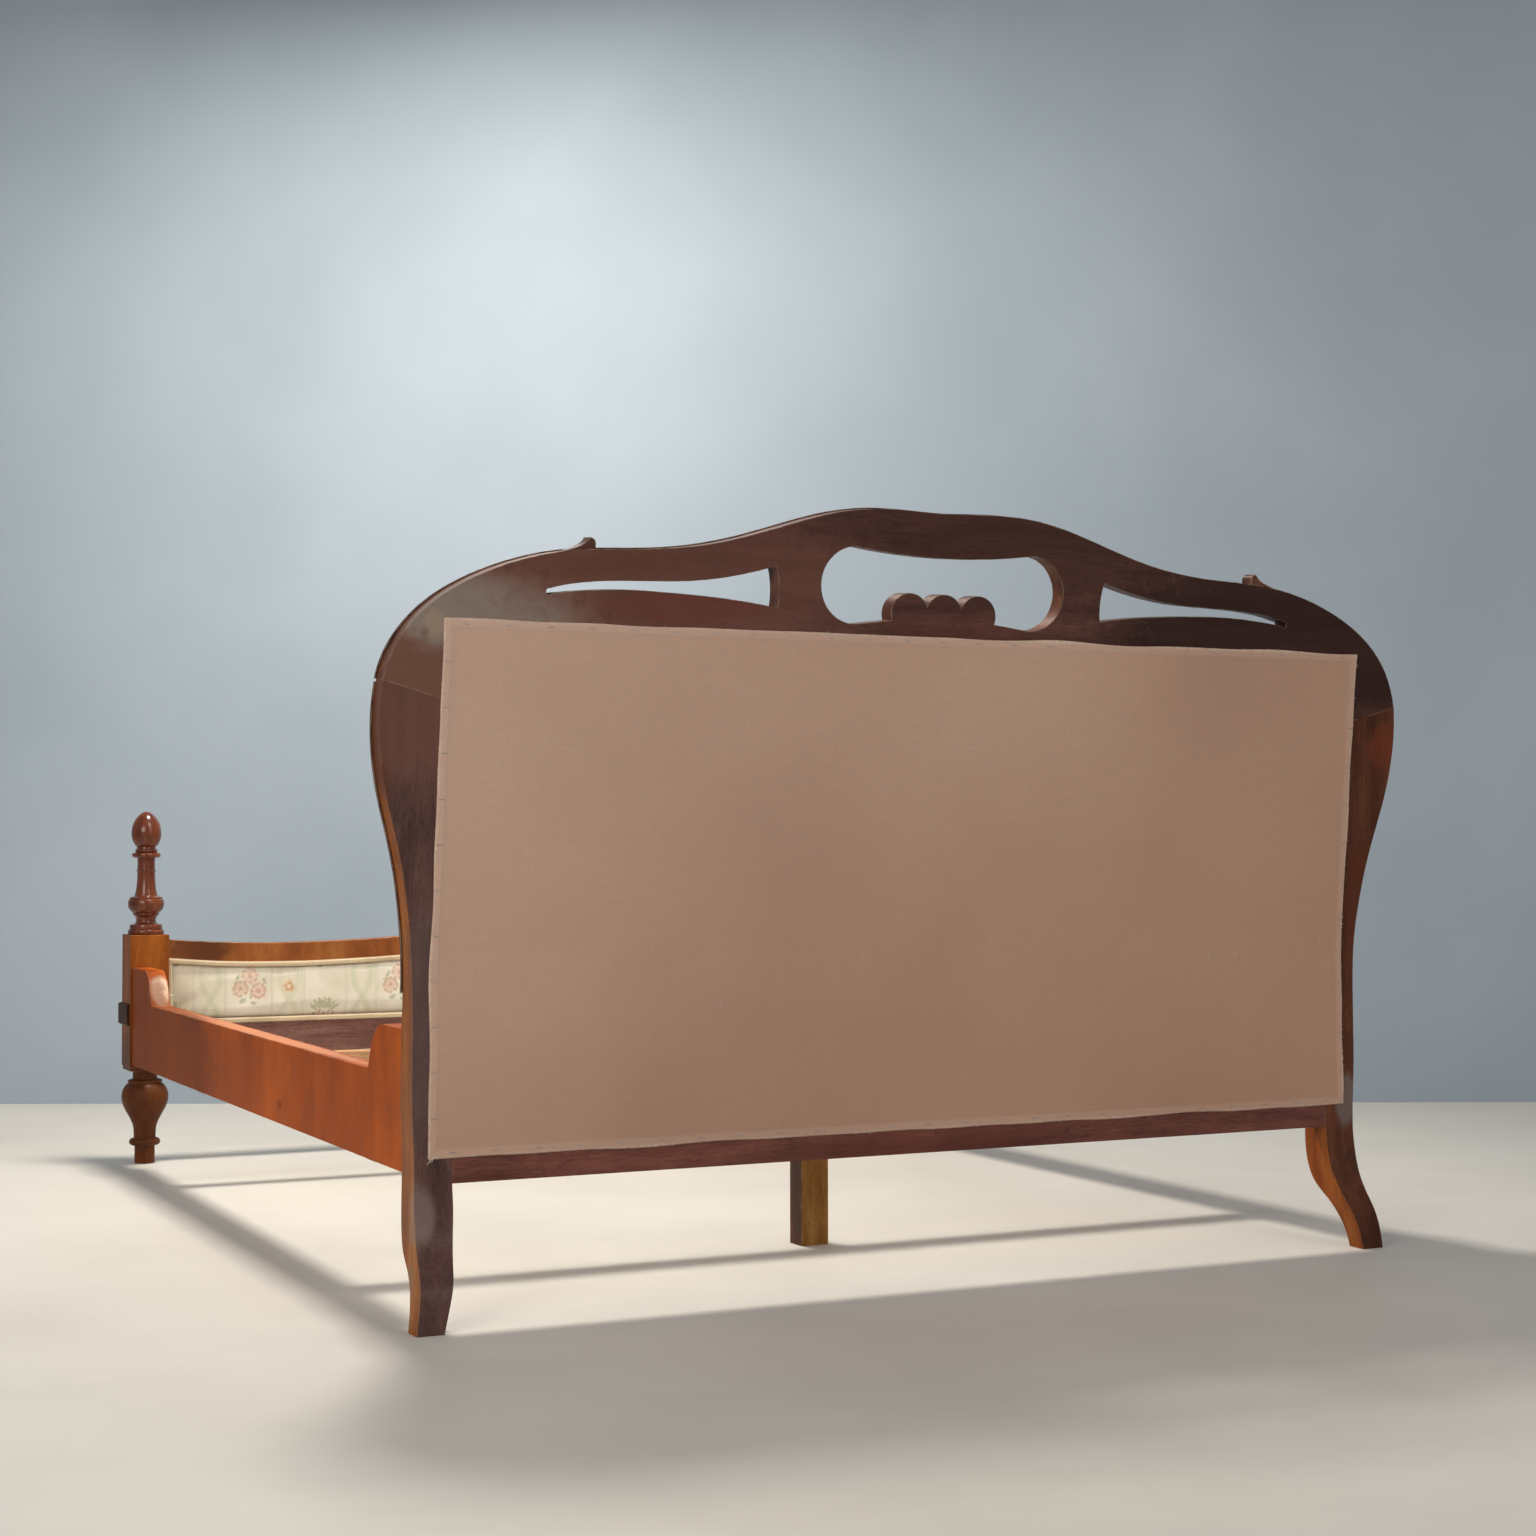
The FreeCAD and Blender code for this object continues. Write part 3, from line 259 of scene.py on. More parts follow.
BACK_TONES = ("3A2420", "50332D", "63433B")
SHOW_TONES = ("4A2A1E", "5E3626", "74482F")
crest_wood = wood("stained_walnut_crest", (0.06, 1, 1), SHOW_TONES, 0.34, 0.1, 22.0, BACK_TONES,
                  "CBB294", 0.75, [stain(-0.838, 1.015, 0.020, 0.026, "C79A58", 1.0),
                                  stain(-0.80, 0.98, 0.34, 0.26, "7A5648", 0.7),
                                  stain(-0.76, 1.03, 0.20, 0.08, "8E8880", 0.65),
                                  stain(-0.45, 1.10, 0.45, 0.16, "6A463C", 0.6),
                                  stain(-0.45, 1.05, 0.18, 0.03, "6B332B", 0.35),
                                  stain(0.02, 1.03, 0.16, 0.03, "5E3229", 0.3),
                                  stain(0.15, 1.16, 0.30, 0.16, "3E2620", 0.5),
                                  stain(0.70, 1.05, 0.55, 0.30, "2A1815", 0.8)])
finish(crest_wood, "headboard_crest")
stile_wood_left = wood("stained_walnut_left_stile", (1, 1, 0.06), ("7E421A", "955420", "A86A30"), 0.4,
                       0.1, 26.0, ("463331", "583F3A", "6C5149"), "B89A72", 0.4,
                       [((-0.925, -1.02, 0.80), (0.035, 0.14, 0.34), "5A2E1C", 0.9),
                        stain(-0.86, 0.90, 0.16, 0.20, "6C4A40", 0.7),
                        stain(-0.845, 0.16, 0.035, 0.06, "8E827C", 0.4),
                        stain(-0.845, 0.06, 0.05, 0.05, "7E6A58", 0.5),
                        stain(-0.83, 0.45, 0.05, 0.25, "6B5A57", 0.35)])
finish(stile_wood_left, "headboard_stile_left")
stile_wood_right = wood("stained_walnut_right_stile", (1, 1, 0.06), ("70340E", "884414", "9C581E"), 0.42,
                        0.08, 26.0, ("42241B", "543020", "6A3E2C"), "B98A54", 0.5,
                        [stain(0.89, 0.86, 0.04, 0.06, "6E3420", 0.6),
                         stain(0.835, 0.25, 0.03, 0.06, "77706C", 0.6),
                         stain(0.86, 0.60, 0.04, 0.20, "5A2C1C", 0.6),
                         stain(0.85, 0.08, 0.05, 0.12, "32211C", 0.7)])
finish(stile_wood_right, "headboard_stile_right")
low_rail_wood = wood("stained_walnut_low_rail", (0.06, 1, 1), ("5C3228", "744438", "8A5648"), 0.4, 0.2,
                     22.0, ("54302A", "6E4238", "825045"), "B59880", 0.4,
                     [stain(0.0, 0.22, 0.3, 0.05, "5A2A20", 0.4)])
finish(low_rail_wood, "headboard_low_rail")

# ---- Mouldings and scrolls --------------------------------------------------------------------
# A rounded strip is glued along the front edge of the crest and both stiles, and ends in two small
# carved scrolls.  It is the same dark wood, polished, with its top corner rubbed pale and painted with a
# highlight line.

trim_wood = wood("polished_walnut_trim", (0.12, 1, 0.12), ("402620", "523229", "684335"), 0.3, 0.3, 24.0,
                 (), "D9BFA0", 0.75)
finish(trim_wood, "crest_moulding", "stile_moulding_left", "stile_moulding_right",
       "crest_scroll_left", "crest_scroll_right")

# ---- Back cloth -------------------------------------------------------------------------------
# Taupe cotton canvas closes the back of the upholstery.  Its edges are turned under, which makes a
# raised border 13 mm wide, and stapled; the folds have frayed to a pale line of broken threads.

CLOTH_LOW, CLOTH_TOP = 0.242, 1.022
CLOTH_HALF_LOW, CLOTH_HALF_TOP = 0.829, 0.824
HEM_WIDE, HEM_HIGH, TURN_IN = 0.013, 0.0007, 0.015
CLOTH_OFF, CLOTH_SKIN = 0.0007, 0.0006
CLOTH_STEP = 0.009
rng = random.Random(7)


def rows(length, step):
    """Places along an edge: close together over the hem, evenly spread between."""
    near = [0, 0.0012, 0.003, 0.006, 0.009, 0.0102, 0.0115, 0.013, 0.016]
    count = round((length - 2 * near[-1]) / step)
    inner = [near[-1] + (length - 2 * near[-1]) * at / count for at in range(1, count)]
    return [at / length for at in near + inner + [length - at for at in near[::-1]]]


def cloth_point(s, t, lift=0.0):
    """A point on the stretched cloth from shares of its width and height."""
    height = CLOTH_LOW + (CLOTH_TOP - CLOTH_LOW) * t
    half = CLOTH_HALF_LOW + (CLOTH_HALF_TOP - CLOTH_HALF_LOW) * t
    across = -half + 2 * half * s
    from_side = min(s, 1 - s) * 2 * half
    from_end = min(t, 1 - t) * (CLOTH_TOP - CLOTH_LOW)
    # The edge wanders between staples, most along the top, and dies out inside the hem.
    waver = 0.0022 * noise.noise(Vector((height * 9, 0, 3 if s < 0.5 else 7)))
    across += waver * math.exp(-from_side / 0.02) * 1.6
    wave = 0.0026 * noise.noise(Vector((across * 7, 11 if t < 0.5 else 17, 0)))
    height += wave * math.exp(-from_end / 0.02) * 1.6
    from_edge = min(from_side, from_end)
    hem = HEM_HIGH * (1 - min(1, max(0, (from_edge - HEM_WIDE + 0.002) / 0.003)))
    roll = 1 - max(0, 1 - from_edge / 0.0013) ** 2
    slack = 0.0009 * noise.noise(Vector((across * 2.2, height * 3.1, 5))) * min(1, from_edge / 0.08)
    pucker = 0.0004 * noise.noise(Vector((across * 30, height * 30, 9))) * math.exp(-from_edge / 0.03)
    return on_board(across, height, -(CLOTH_OFF + CLOTH_SKIN + hem + abs(slack) + pucker + lift) * roll)


shares_across = rows(2 * CLOTH_HALF_LOW, CLOTH_STEP)
shares_up = rows(CLOTH_TOP - CLOTH_LOW, CLOTH_STEP)
wide = len(shares_across)
points = [cloth_point(s, t) for t in shares_up for s in shares_across]
faces = [(row * wide + at, row * wide + at + 1, (row + 1) * wide + at + 1, (row + 1) * wide + at)
         for row in range(len(shares_up) - 1) for at in range(wide - 1)]
back_cloth = mesh_piece("back_cloth", points, faces)
skin = back_cloth.modifiers.new("cloth_thickness", "SOLIDIFY")
skin.thickness, skin.offset = CLOTH_SKIN, -1

# Cotton canvas, plain woven: threads are finer than can show, so slubs are drawn about 2 mm apart.
canvas, tree = blank("cotton_canvas")
coords = add(tree, "TexCoord", out="Object")
split = add(tree, "SeparateXYZ", {0: coords}).node
clouds = add(tree, "TexNoise", {"Vector": coords, "Scale": 1.6, "Detail": 3.0})
tone = add(tree, "ValToRGB", {0: clouds}, stops=[(0.3, "AF8F7D"), (0.5, "B79784"), (0.7, "BFA08D")])
# It is palest at the left, and a little darker towards the floor.
share = add(tree, "MapRange", {0: split.outputs["X"], 1: -0.5, 2: 0.83, 3: 0.0, 4: 1.0})
tone = add(tree, "Mix", {0: share, 6: tone, 7: "F5EEE6"}, out=2, data_type="RGBA", blend_type="MULTIPLY")
share = add(tree, "MapRange", {0: split.outputs["Z"], 1: 0.85, 2: 0.25, 3: 0.0, 4: 1.0})
tone = add(tree, "Mix", {0: share, 6: tone, 7: "F6EEE6"}, out=2, data_type="RGBA", blend_type="MULTIPLY")
warp = add(tree, "Mapping", {0: coords, "Scale": (1, 1, 0.06)})
weft = add(tree, "Mapping", {0: coords, "Scale": (0.06, 1, 1)})
upright = add(tree, "TexNoise", {"Vector": warp, "Scale": 600.0, "Detail": 2.0})
level = add(tree, "TexNoise", {"Vector": weft, "Scale": 600.0, "Detail": 2.0})
weave = add(tree, "Math", {0: upright, 1: level}, operation="ADD")
shade = add(tree, "MapRange", {0: weave, 1: 0.7, 2: 1.3, 3: 0.955, 4: 1.045})
tone = add(tree, "VectorMath", {0: tone, 3: shade}, operation="SCALE")
slant = (CLOTH_HALF_LOW - CLOTH_HALF_TOP) / (CLOTH_TOP - CLOTH_LOW)
out_x = add(tree, "Math", {0: split.outputs["X"]}, operation="ABSOLUTE")
out_x = add(tree, "Math", {0: split.outputs["Z"], 1: slant, 2: out_x}, operation="MULTIPLY_ADD")
side_gap = add(tree, "Math", {0: CLOTH_HALF_LOW + slant * CLOTH_LOW, 1: out_x}, operation="SUBTRACT")
middle_high, half_high = (CLOTH_LOW + CLOTH_TOP) / 2, (CLOTH_TOP - CLOTH_LOW) / 2
out_z = add(tree, "Math", {0: split.outputs["Z"], 1: middle_high}, operation="SUBTRACT")
end_gap = add(tree, "Math", {0: half_high, 1: add(tree, "Math", {0: out_z}, operation="ABSOLUTE")},
              operation="SUBTRACT")
gap = add(tree, "Math", {0: side_gap, 1: end_gap}, operation="MINIMUM")
hairy = add(tree, "TexNoise", {"Vector": coords, "Scale": 160.0, "Detail": 4.0, "Roughness": 0.8})
frayed = add(tree, "MapRange", {0: gap, 1: 0.0045, 2: 0.0, 3: 0.0, 4: 1.0})
broken = add(tree, "MapRange", {0: hairy, 1: 0.42, 2: 0.6, 3: 0.0, 4: 0.85})
pale = add(tree, "Math", {0: frayed, 1: broken}, operation="MULTIPLY")
tone = add(tree, "Mix", {0: pale, 6: tone, 7: "D9C8B4"}, out=2, data_type="RGBA")
strip = add(tree, "MapRange", {0: gap, 1: HEM_WIDE + 0.002, 2: HEM_WIDE - 0.003, 3: 0.0, 4: 0.24})
tone = add(tree, "Mix", {0: strip, 6: tone, 7: "CDB3A6"}, out=2, data_type="RGBA")
bump = add(tree, "Bump", {"Strength": 0.25, "Distance": 0.0003, "Height": weave})
add(tree, "OutputMaterial", {"Surface": add(tree, "BsdfPrincipled", {
    "Base Color": tone, "Roughness": 0.82, "Sheen Weight": 0.35, "Sheen Roughness": 0.4,
    "Sheen Tint": linear("F2DCD0"), "Normal": bump})})
back_cloth.data.materials.append(canvas)


def tube(points, radius, sides=5, taper=False):
    """Points and faces of a thin round tube that follows a line of points."""
    ring, skin_faces = [], []
    for at, point in enumerate(points):
        way = (points[min(at + 1, len(points) - 1)] - points[max(at - 1, 0)]).normalized()
        side = way.cross(Vector((0.31, 0.2, 0.93))).normalized()
        over = way.cross(side)
        size = radius * (1 - 0.7 * at / (len(points) - 1)) if taper else radius
        ring += [point + size * (math.cos(a) * side + math.sin(a) * over)
                 for a in (math.tau * turn / sides for turn in range(sides))]
    for at in range(len(points) - 1):
        skin_faces += [(at * sides + turn, at * sides + (turn + 1) % sides,
                        (at + 1) * sides + (turn + 1) % sides, (at + 1) * sides + turn)
                       for turn in range(sides)]
    last = (len(points) - 1) * sides
    skin_faces += [tuple(range(sides))[::-1], tuple(last + turn for turn in range(sides))]
    return ring, skin_faces


def tubes(name, lines, radius, sides=5, taper=False):
    """One piece made of many tubes."""
    points, faces = [], []
    for line in lines:
        ring, skin_faces = tube(line, radius, sides, taper)
        faces += [tuple(len(points) + corner for corner in face) for face in skin_faces]
        points += ring
    return mesh_piece(name, points, faces)


HEM_THREADS, TUFT_THREADS, THREAD_THIN = 150, 16, 0.00035


def stray(s, t, out_x, out_z, length):
    """A short curling thread that starts on the cloth, at shares of its width and height."""
    start = cloth_point(s, t, 0.0008)
    curl = rng.uniform(-0.4, 0.4)
    line = []
    for step in range(5):
        reach = length * step / 4
        line.append(start + Vector((out_x * reach + curl * out_z * reach * step / 4, -0.0004 * step,
                                    out_z * reach + curl * out_x * reach * step / 4)))
    return line


# Broken threads stand out of the folded edges all round.
hairs = []
for count in range(HEM_THREADS):
    share, length = rng.random(), rng.uniform(0.002, 0.006)
    edge = count % 4
    if edge == 0:
        hairs.append(stray(0.002, share, -0.6, rng.uniform(-0.8, 0.8), length))
    elif edge == 1:
        hairs.append(stray(0.998, share, 0.6, rng.uniform(-0.8, 0.8), length))
    elif edge == 2:
        hairs.append(stray(share, 0.003, rng.uniform(-0.8, 0.8), -0.6, length))
    else:
        hairs.append(stray(share, 0.997, rng.uniform(-0.8, 0.8), 0.6, length))
# A tuft has pulled loose at the low left corner.
for count in range(TUFT_THREADS):
    hairs.append(stray(rng.uniform(0.001, 0.006), rng.uniform(0.002, 0.012), rng.uniform(-0.9, 0.2),
                       rng.uniform(-1, 0.2), rng.uniform(0.006, 0.014)))
# Five short threads stand up from the cloth well inside its edges.
for across, height in ((-0.366, 0.446), (0.208, 0.446), (0.546, 0.503), (0.601, 0.502), (0.780, 0.522)):
    share = (across + CLOTH_HALF_LOW) / (2 * CLOTH_HALF_LOW)
    hairs.append(stray(share, (height - CLOTH_LOW) / (CLOTH_TOP - CLOTH_LOW), 0.2, 1.0, 0.010))
strays = tubes("back_cloth_strays", hairs, THREAD_THIN, 4, True)

# Bleached cotton thread: pale, fuzzy and matt, so that it stands out against the canvas.
bleached, tree = blank("broken_cotton_thread")
twist = add(tree, "TexNoise", {"Vector": add(tree, "TexCoord", out="Object"), "Scale": 900.0})
tone = add(tree, "ValToRGB", {0: twist}, stops=[(0.35, "C9B5A0"), (0.65, "EFE6DA")])
add(tree, "OutputMaterial", {"Surface": add(tree, "BsdfPrincipled", {
    "Base Color": tone, "Roughness": 0.9, "Sheen Weight": 0.3})})
strays.data.materials.append(bleached)

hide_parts("headboard_back_cloth")
for piece in (back_cloth, strays):
    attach(piece, "frame")

# ---- Upholstered pads -------------------------------------------------------------------------
# The front of the headboard and both faces of the footboard are stuffed with horsehair and covered
# with a cream furnishing cotton, printed with rose bunches, thin stripes and a pale green lattice.

REPEAT_ACROSS, REPEAT_UP = 0.344, 0.300
BUNCH_ACROSS, BUNCH_HIGH = -0.589, 0.378

rose_cotton, tree = blank("rose_printed_cotton")
coords = add(tree, "TexCoord", out="Object")
split = add(tree, "SeparateXYZ", {0: coords}).node
from_bunch = add(tree, "Math", {0: split.outputs["X"], 1: BUNCH_ACROSS}, operation="SUBTRACT")
u = add(tree, "Math", {0: from_bunch, 1: REPEAT_ACROSS / 2, 2: -REPEAT_ACROSS / 2}, operation="WRAP")
above = add(tree, "Math", {0: split.outputs["Z"], 1: BUNCH_HIGH}, operation="SUBTRACT")
v = add(tree, "Math", {0: above, 1: REPEAT_UP / 2, 2: -REPEAT_UP / 2}, operation="WRAP")
print_place = add(tree, "CombineXYZ", {0: u, 1: v})
ground = add(tree, "TexNoise", {"Vector": coords, "Scale": 14.0, "Detail": 3.0})
tone = add(tree, "ValToRGB", {0: ground}, stops=[(0.3, "DDD8C4"), (0.55, "E9E4D2"), (0.75, "F2EDDF")])
petals = add(tree, "TexVoronoi", {"Vector": print_place, "Scale": 190.0}, out="Distance")
ragged = add(tree, "MapRange", {0: petals, 1: 0.1, 2: 0.7, 3: 0.1, 4: -0.3})


def dab(tone, at, reach, turn, colour, strength=0.8):
    """Prints one oval of colour with a broken edge over the tones so far."""
    spot = add(tree, "Mapping", {0: print_place, "Location": (*at, 0), "Rotation": (0, 0, turn),
                                 "Scale": (*reach, 1)}, vector_type="TEXTURE")
    inside = add(tree, "TexGradient", {0: spot}, gradient_type="SPHERICAL", out="Fac")
    edge = add(tree, "Math", {0: inside, 1: ragged}, operation="ADD")
    share = add(tree, "MapRange", {0: edge, 1: 0.12, 2: 0.4, 3: 0.0, 4: strength})
    return add(tree, "Mix", {0: share, 6: tone, 7: colour}, out=2, data_type="RGBA")


# Lattice ribbons: two mirrored waves on each side of a bunch, which cross three times a repeat.
for column, colour in ((0.090, "D0D3B8"), (-0.086, "CBD1B4")):
    beside = add(tree, "Math", {0: u, 1: column}, operation="SUBTRACT")
    turn = add(tree, "Math", {0: v, 1: math.tau / REPEAT_UP * 1.5, 2: 0.9}, operation="MULTIPLY_ADD")
    swing = add(tree, "Math", {0: add(tree, "Math", {0: turn}, operation="SINE"), 1: 0.021},
                operation="MULTIPLY")
    for sign in (1, -1):
        ribbon = add(tree, "Math", {0: swing, 1: sign, 2: beside}, operation="MULTIPLY_ADD")
        ribbon = add(tree, "Math", {0: ribbon}, operation="ABSOLUTE")
        share = add(tree, "MapRange", {0: ribbon, 1: 0.012, 2: 0.002, 3: 0.0, 4: 0.6})
        tone = add(tree, "Mix", {0: share, 6: tone, 7: colour}, out=2, data_type="RGBA")
# Stripes: pairs of hair lines either side of each column.
for across in (0.050, 0.054, -0.050, -0.054, 0.120, 0.125, -0.120, -0.125):
    line = add(tree, "Math", {0: u, 1: across, 2: 0.0008}, operation="COMPARE")
    share = add(tree, "Math", {0: line, 1: 0.45}, operation="MULTIPLY")
    tone = add(tree, "Mix", {0: share, 6: tone, 7: "B9B79E"}, out=2, data_type="RGBA")
# Rose bunches: leaves first, then three blooms, each a pale disc under a ring of petals.
for at, reach, turn in (((-0.014, -0.030), (0.014, 0.009), 0.5), ((0.010, -0.037), (0.011, 0.010), -0.3),
                        ((-0.030, 0.002), (0.008, 0.018), 0.2), ((-0.026, 0.020), (0.007, 0.014), -0.5),
                        ((0.034, 0.012), (0.007, 0.014), 0.5), ((0.004, -0.022), (0.005, 0.012), 0.1)):
    tone = dab(tone, at, reach, turn, "A9B298", 0.7)
for at, size, disc, ring in (((-0.019, -0.004), 0.027, "E0C8B2", "C4A08A"),
                             ((0.021, -0.009), 0.027, "E4C8BA", "C89C8A"),
                             ((0.002, 0.024), 0.028, "E4CCBA", "CCA692")):
    tone = dab(tone, at, (size, size), 0, disc, 0.9)
    for count in range(8):
        swing = math.tau * count / 8 + at[0] * 40
        spot = (at[0] + 0.55 * size * math.cos(swing), at[1] + 0.55 * size * math.sin(swing))
        tone = dab(tone, spot, (size * 0.26, size * 0.34), swing, ring, 0.6)
    tone = dab(tone, at, (size * 0.34, size * 0.34), 0, ring, 0.75)
# Medallion: a small eyed flower on the lattice beside the bunch.
tone = dab(tone, (0.090, -0.002), (0.024, 0.026), 0, "DDC49C", 0.85)
tone = dab(tone, (0.090, -0.002), (0.015, 0.016), 0, "CC9F76", 0.9)
tone = dab(tone, (0.090, -0.002), (0.008, 0.008), 0, "EAD9BE", 0.9)
# Sprigs: a spray of stalks below and a few leaves above, half a repeat away from the bunches.
HALF_REPEAT = REPEAT_ACROSS / 2
for side in (1, -1):
    for count in range(7):
        lean = (count - 3) * 0.30
        spot = (side * HALF_REPEAT + 0.030 * math.sin(lean), -0.068 + 0.028 * math.cos(lean))
        tone = dab(tone, spot, (0.008, 0.022), -lean, "B8B892" if count % 2 else "A9AC8A", 0.7)
    for count in range(5):
        tone = dab(tone, (side * HALF_REPEAT + (count - 2) * 0.011, -0.064 + 0.004 * (count % 2)),
                   (0.007, 0.006), 0, "C7A582" if count % 2 else "B5B083", 0.8)
    for at, reach in (((-0.010, 0.044), (0.010, 0.008)), ((0.012, 0.052), (0.012, 0.006)),
                      ((-0.004, 0.056), (0.006, 0.008))):
        tone = dab(tone, (side * HALF_REPEAT + at[0], at[1]), reach, 0.4, "94A088", 0.8)
# The cloth has yellowed and greyed with dust, in broad patches.
dust = add(tree, "TexNoise", {"Vector": coords, "Scale": 5.0, "Detail": 4.0})
share = add(tree, "MapRange", {0: dust, 1: 0.5, 2: 0.75, 3: 0.0, 4: 0.35})
tone = add(tree, "Mix", {0: share, 6: tone, 7: "BDB598"}, out=2, data_type="RGBA")
# Towards the pads' ends, beside the posts, it is darkened and yellowed further: dust, and painted shade.
end_shade_and_dust = add(tree, "Math", {0: split.outputs["X"]}, operation="ABSOLUTE")
share = add(tree, "MapRange", {0: end_shade_and_dust, 1: 0.62, 2: 0.77, 3: 0.0, 4: 0.4})
tone = add(tree, "Mix", {0: share, 6: tone, 7: "B0A47E"}, out=2, data_type="RGBA")
rib = add(tree, "Mapping", {0: coords, "Scale": (0.2, 1, 1)})
thread = add(tree, "TexNoise", {"Vector": rib, "Scale": 900.0, "Detail": 2.0})
weave_shade = add(tree, "MapRange", {0: thread, 1: 0.3, 2: 0.7, 3: 0.93, 4: 1.05})
tone = add(tree, "VectorMath", {0: tone, 3: weave_shade}, operation="SCALE")
bump = add(tree, "Bump", {"Strength": 0.4, "Distance": 0.0004, "Height": thread})
add(tree, "OutputMaterial", {"Surface": add(tree, "BsdfPrincipled", {
    "Base Color": tone, "Roughness": 0.7, "Sheen Weight": 0.25, "Sheen Roughness": 0.35,
    "Normal": bump})})


BLOW_STEPS, RIM_SHARE = 20, 0.45


def stuffed(name, node, line, face, shrink, voxel, cap):
    """A stuffed pad in the place of a CAD solid: its flat blank is remeshed and blown up under its
    cover while its back and rim stay tacked, and no point moves further than cap.
    line gives how far along the bed a flat or bent pad's own zero is, by height; it faces +Y or -Y."""
    data = nodes[node].data.copy()
    data.name = name
    data.materials.clear()
    pad = bpy.data.objects.new(name, data)
    bpy.context.collection.objects.link(pad)
    for vertex in data.vertices:
        vertex.co.y -= line(vertex.co.z)
    deep = [vertex.co.y * face for vertex in data.vertices]
    back, front = min(deep), max(deep)
    for vertex in data.vertices:
        depth = vertex.co.y * face - back
        vertex.co.y = face * (back + depth * shrink)
    remesh = pad.modifiers.new("even_mesh", "REMESH")
    remesh.mode, remesh.voxel_size = "VOXEL", voxel
    bpy.context.view_layer.update()
    even = bpy.data.meshes.new_from_object(pad.evaluated_get(bpy.context.evaluated_depsgraph_get()))
    pad.modifiers.clear()
    pad.data = even
    start = [vertex.co.copy() for vertex in even.vertices]
    tacked = pad.vertex_groups.new(name="tacked")
    rim = back + RIM_SHARE * shrink * (front - back)
    tacked.add([at for at, co in enumerate(start) if co.y * face < rim], 1.0, "REPLACE")
    cover = pad.modifiers.new("cover", "CLOTH")
    cover.settings.vertex_group_mass = "tacked"
    cover.settings.use_pressure = True
    cover.settings.uniform_pressure_force = 4
    cover.settings.tension_stiffness = cover.settings.compression_stiffness = 8
    cover.settings.bending_stiffness = 0.3
    cover.settings.effector_weights.gravity = 0
    cover.settings.quality = 4
    cover.collision_settings.use_collision = False
    for step in range(1, BLOW_STEPS + 1):
        bpy.context.scene.frame_set(step)
    blown = pad.evaluated_get(bpy.context.evaluated_depsgraph_get()).data
    ends = [vertex.co.copy() for vertex in blown.vertices]
    pad.modifiers.clear()
    bpy.context.scene.frame_set(1)
    for vertex, low, high in zip(even.vertices, start, ends):
        move = high - low
        if move.length > cap:
            move *= cap / move.length
        vertex.co = low + move
    for vertex in even.vertices:
        vertex.co.y += line(vertex.co.z)
    pad.vertex_groups.clear()
    smooth = pad.modifiers.new("cover_smooth", "SUBSURF")
    smooth.levels = smooth.render_levels = 1
    for polygon in even.polygons:
        polygon.use_smooth = True
    pad.data.materials.append(rose_cotton)
    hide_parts(node)
    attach(pad, "frame")


stuffed("front_pad", "headboard_front_pad", board_back, 1, 0.72, 0.007, 0.011)
stuffed("inner_pad", "footboard_pad_inner", lambda height: 0.0, -1, 0.62, 0.005, 0.008)
stuffed("outer_pad", "footboard_pad_outer", lambda height: 0.0, 1, 0.62, 0.005, 0.008)

# ---- Looped braid -----------------------------------------------------------------------------
# Woven gimp, about 12 mm wide, is glued over the tacked edge of each pad: a flat tape under two
# cords that swing across each other every 5 mm, with a thin wavy cord along both edges.

BRAID_WIDE, SWING_LENGTH, SAMPLES = 0.012, 0.010, 8
CORD_SWING, CORD_HIGH, CORD_RISE, CORD_THICK = 0.0024, 0.0022, 0.0006, 0.0011
TAPE_APART, TAPE_HIGH, TAPE_THICK = 0.0032, 0.0006, 0.0019
EDGE_OUT, EDGE_SWING, EDGE_HIGH, EDGE_RISE, EDGE_THICK = 0.0046, 0.0011, 0.0010, 0.0005, 0.0008

# Cream viscose: a silky, slightly shining thread, browned by handling in patches.
gimp_thread, tree = blank("cream_viscose_gimp")
coords = add(tree, "TexCoord", out="Object")
strand = add(tree, "TexNoise", {"Vector": coords, "Scale": 420.0, "Detail": 3.0, "Roughness": 0.7})
tone = add(tree, "ValToRGB", {0: strand}, stops=[(0.3, "C0A884"), (0.5, "DDCBAA"), (0.68, "F1E7CF")])
soil = add(tree, "TexNoise", {"Vector": coords, "Scale": 12.0, "Detail": 3.0})
share = add(tree, "MapRange", {0: soil, 1: 0.5, 2: 0.75, 3: 0.0, 4: 0.4})
tone = add(tree, "Mix", {0: share, 6: tone, 7: "A98C66"}, out=2, data_type="RGBA")
bump = add(tree, "Bump", {"Strength": 0.5, "Distance": 0.0005, "Height": strand})
add(tree, "OutputMaterial", {"Surface": add(tree, "BsdfPrincipled", {
    "Base Color": tone, "Roughness": 0.6, "Sheen Weight": 0.4, "Sheen Roughness": 0.3,
    "Normal": bump})})


def smooth_run(points):
    """Many places on a smooth line through a few."""
    found = []
    for at in range(len(points) - 1):
        a, b = Vector(points[max(at - 1, 0)]), Vector(points[at])
        c, d = Vector(points[at + 1]), Vector(points[min(at + 2, len(points) - 1)])
        for step in range(12):
            t = step / 12
            found.append(0.5 * ((2 * b) + (c - a) * t + (2 * a - 5 * b + 4 * c - d) * t ** 2
                                + (3 * b - a - 3 * c + d) * t ** 3))
    return found + [Vector(points[-1])]


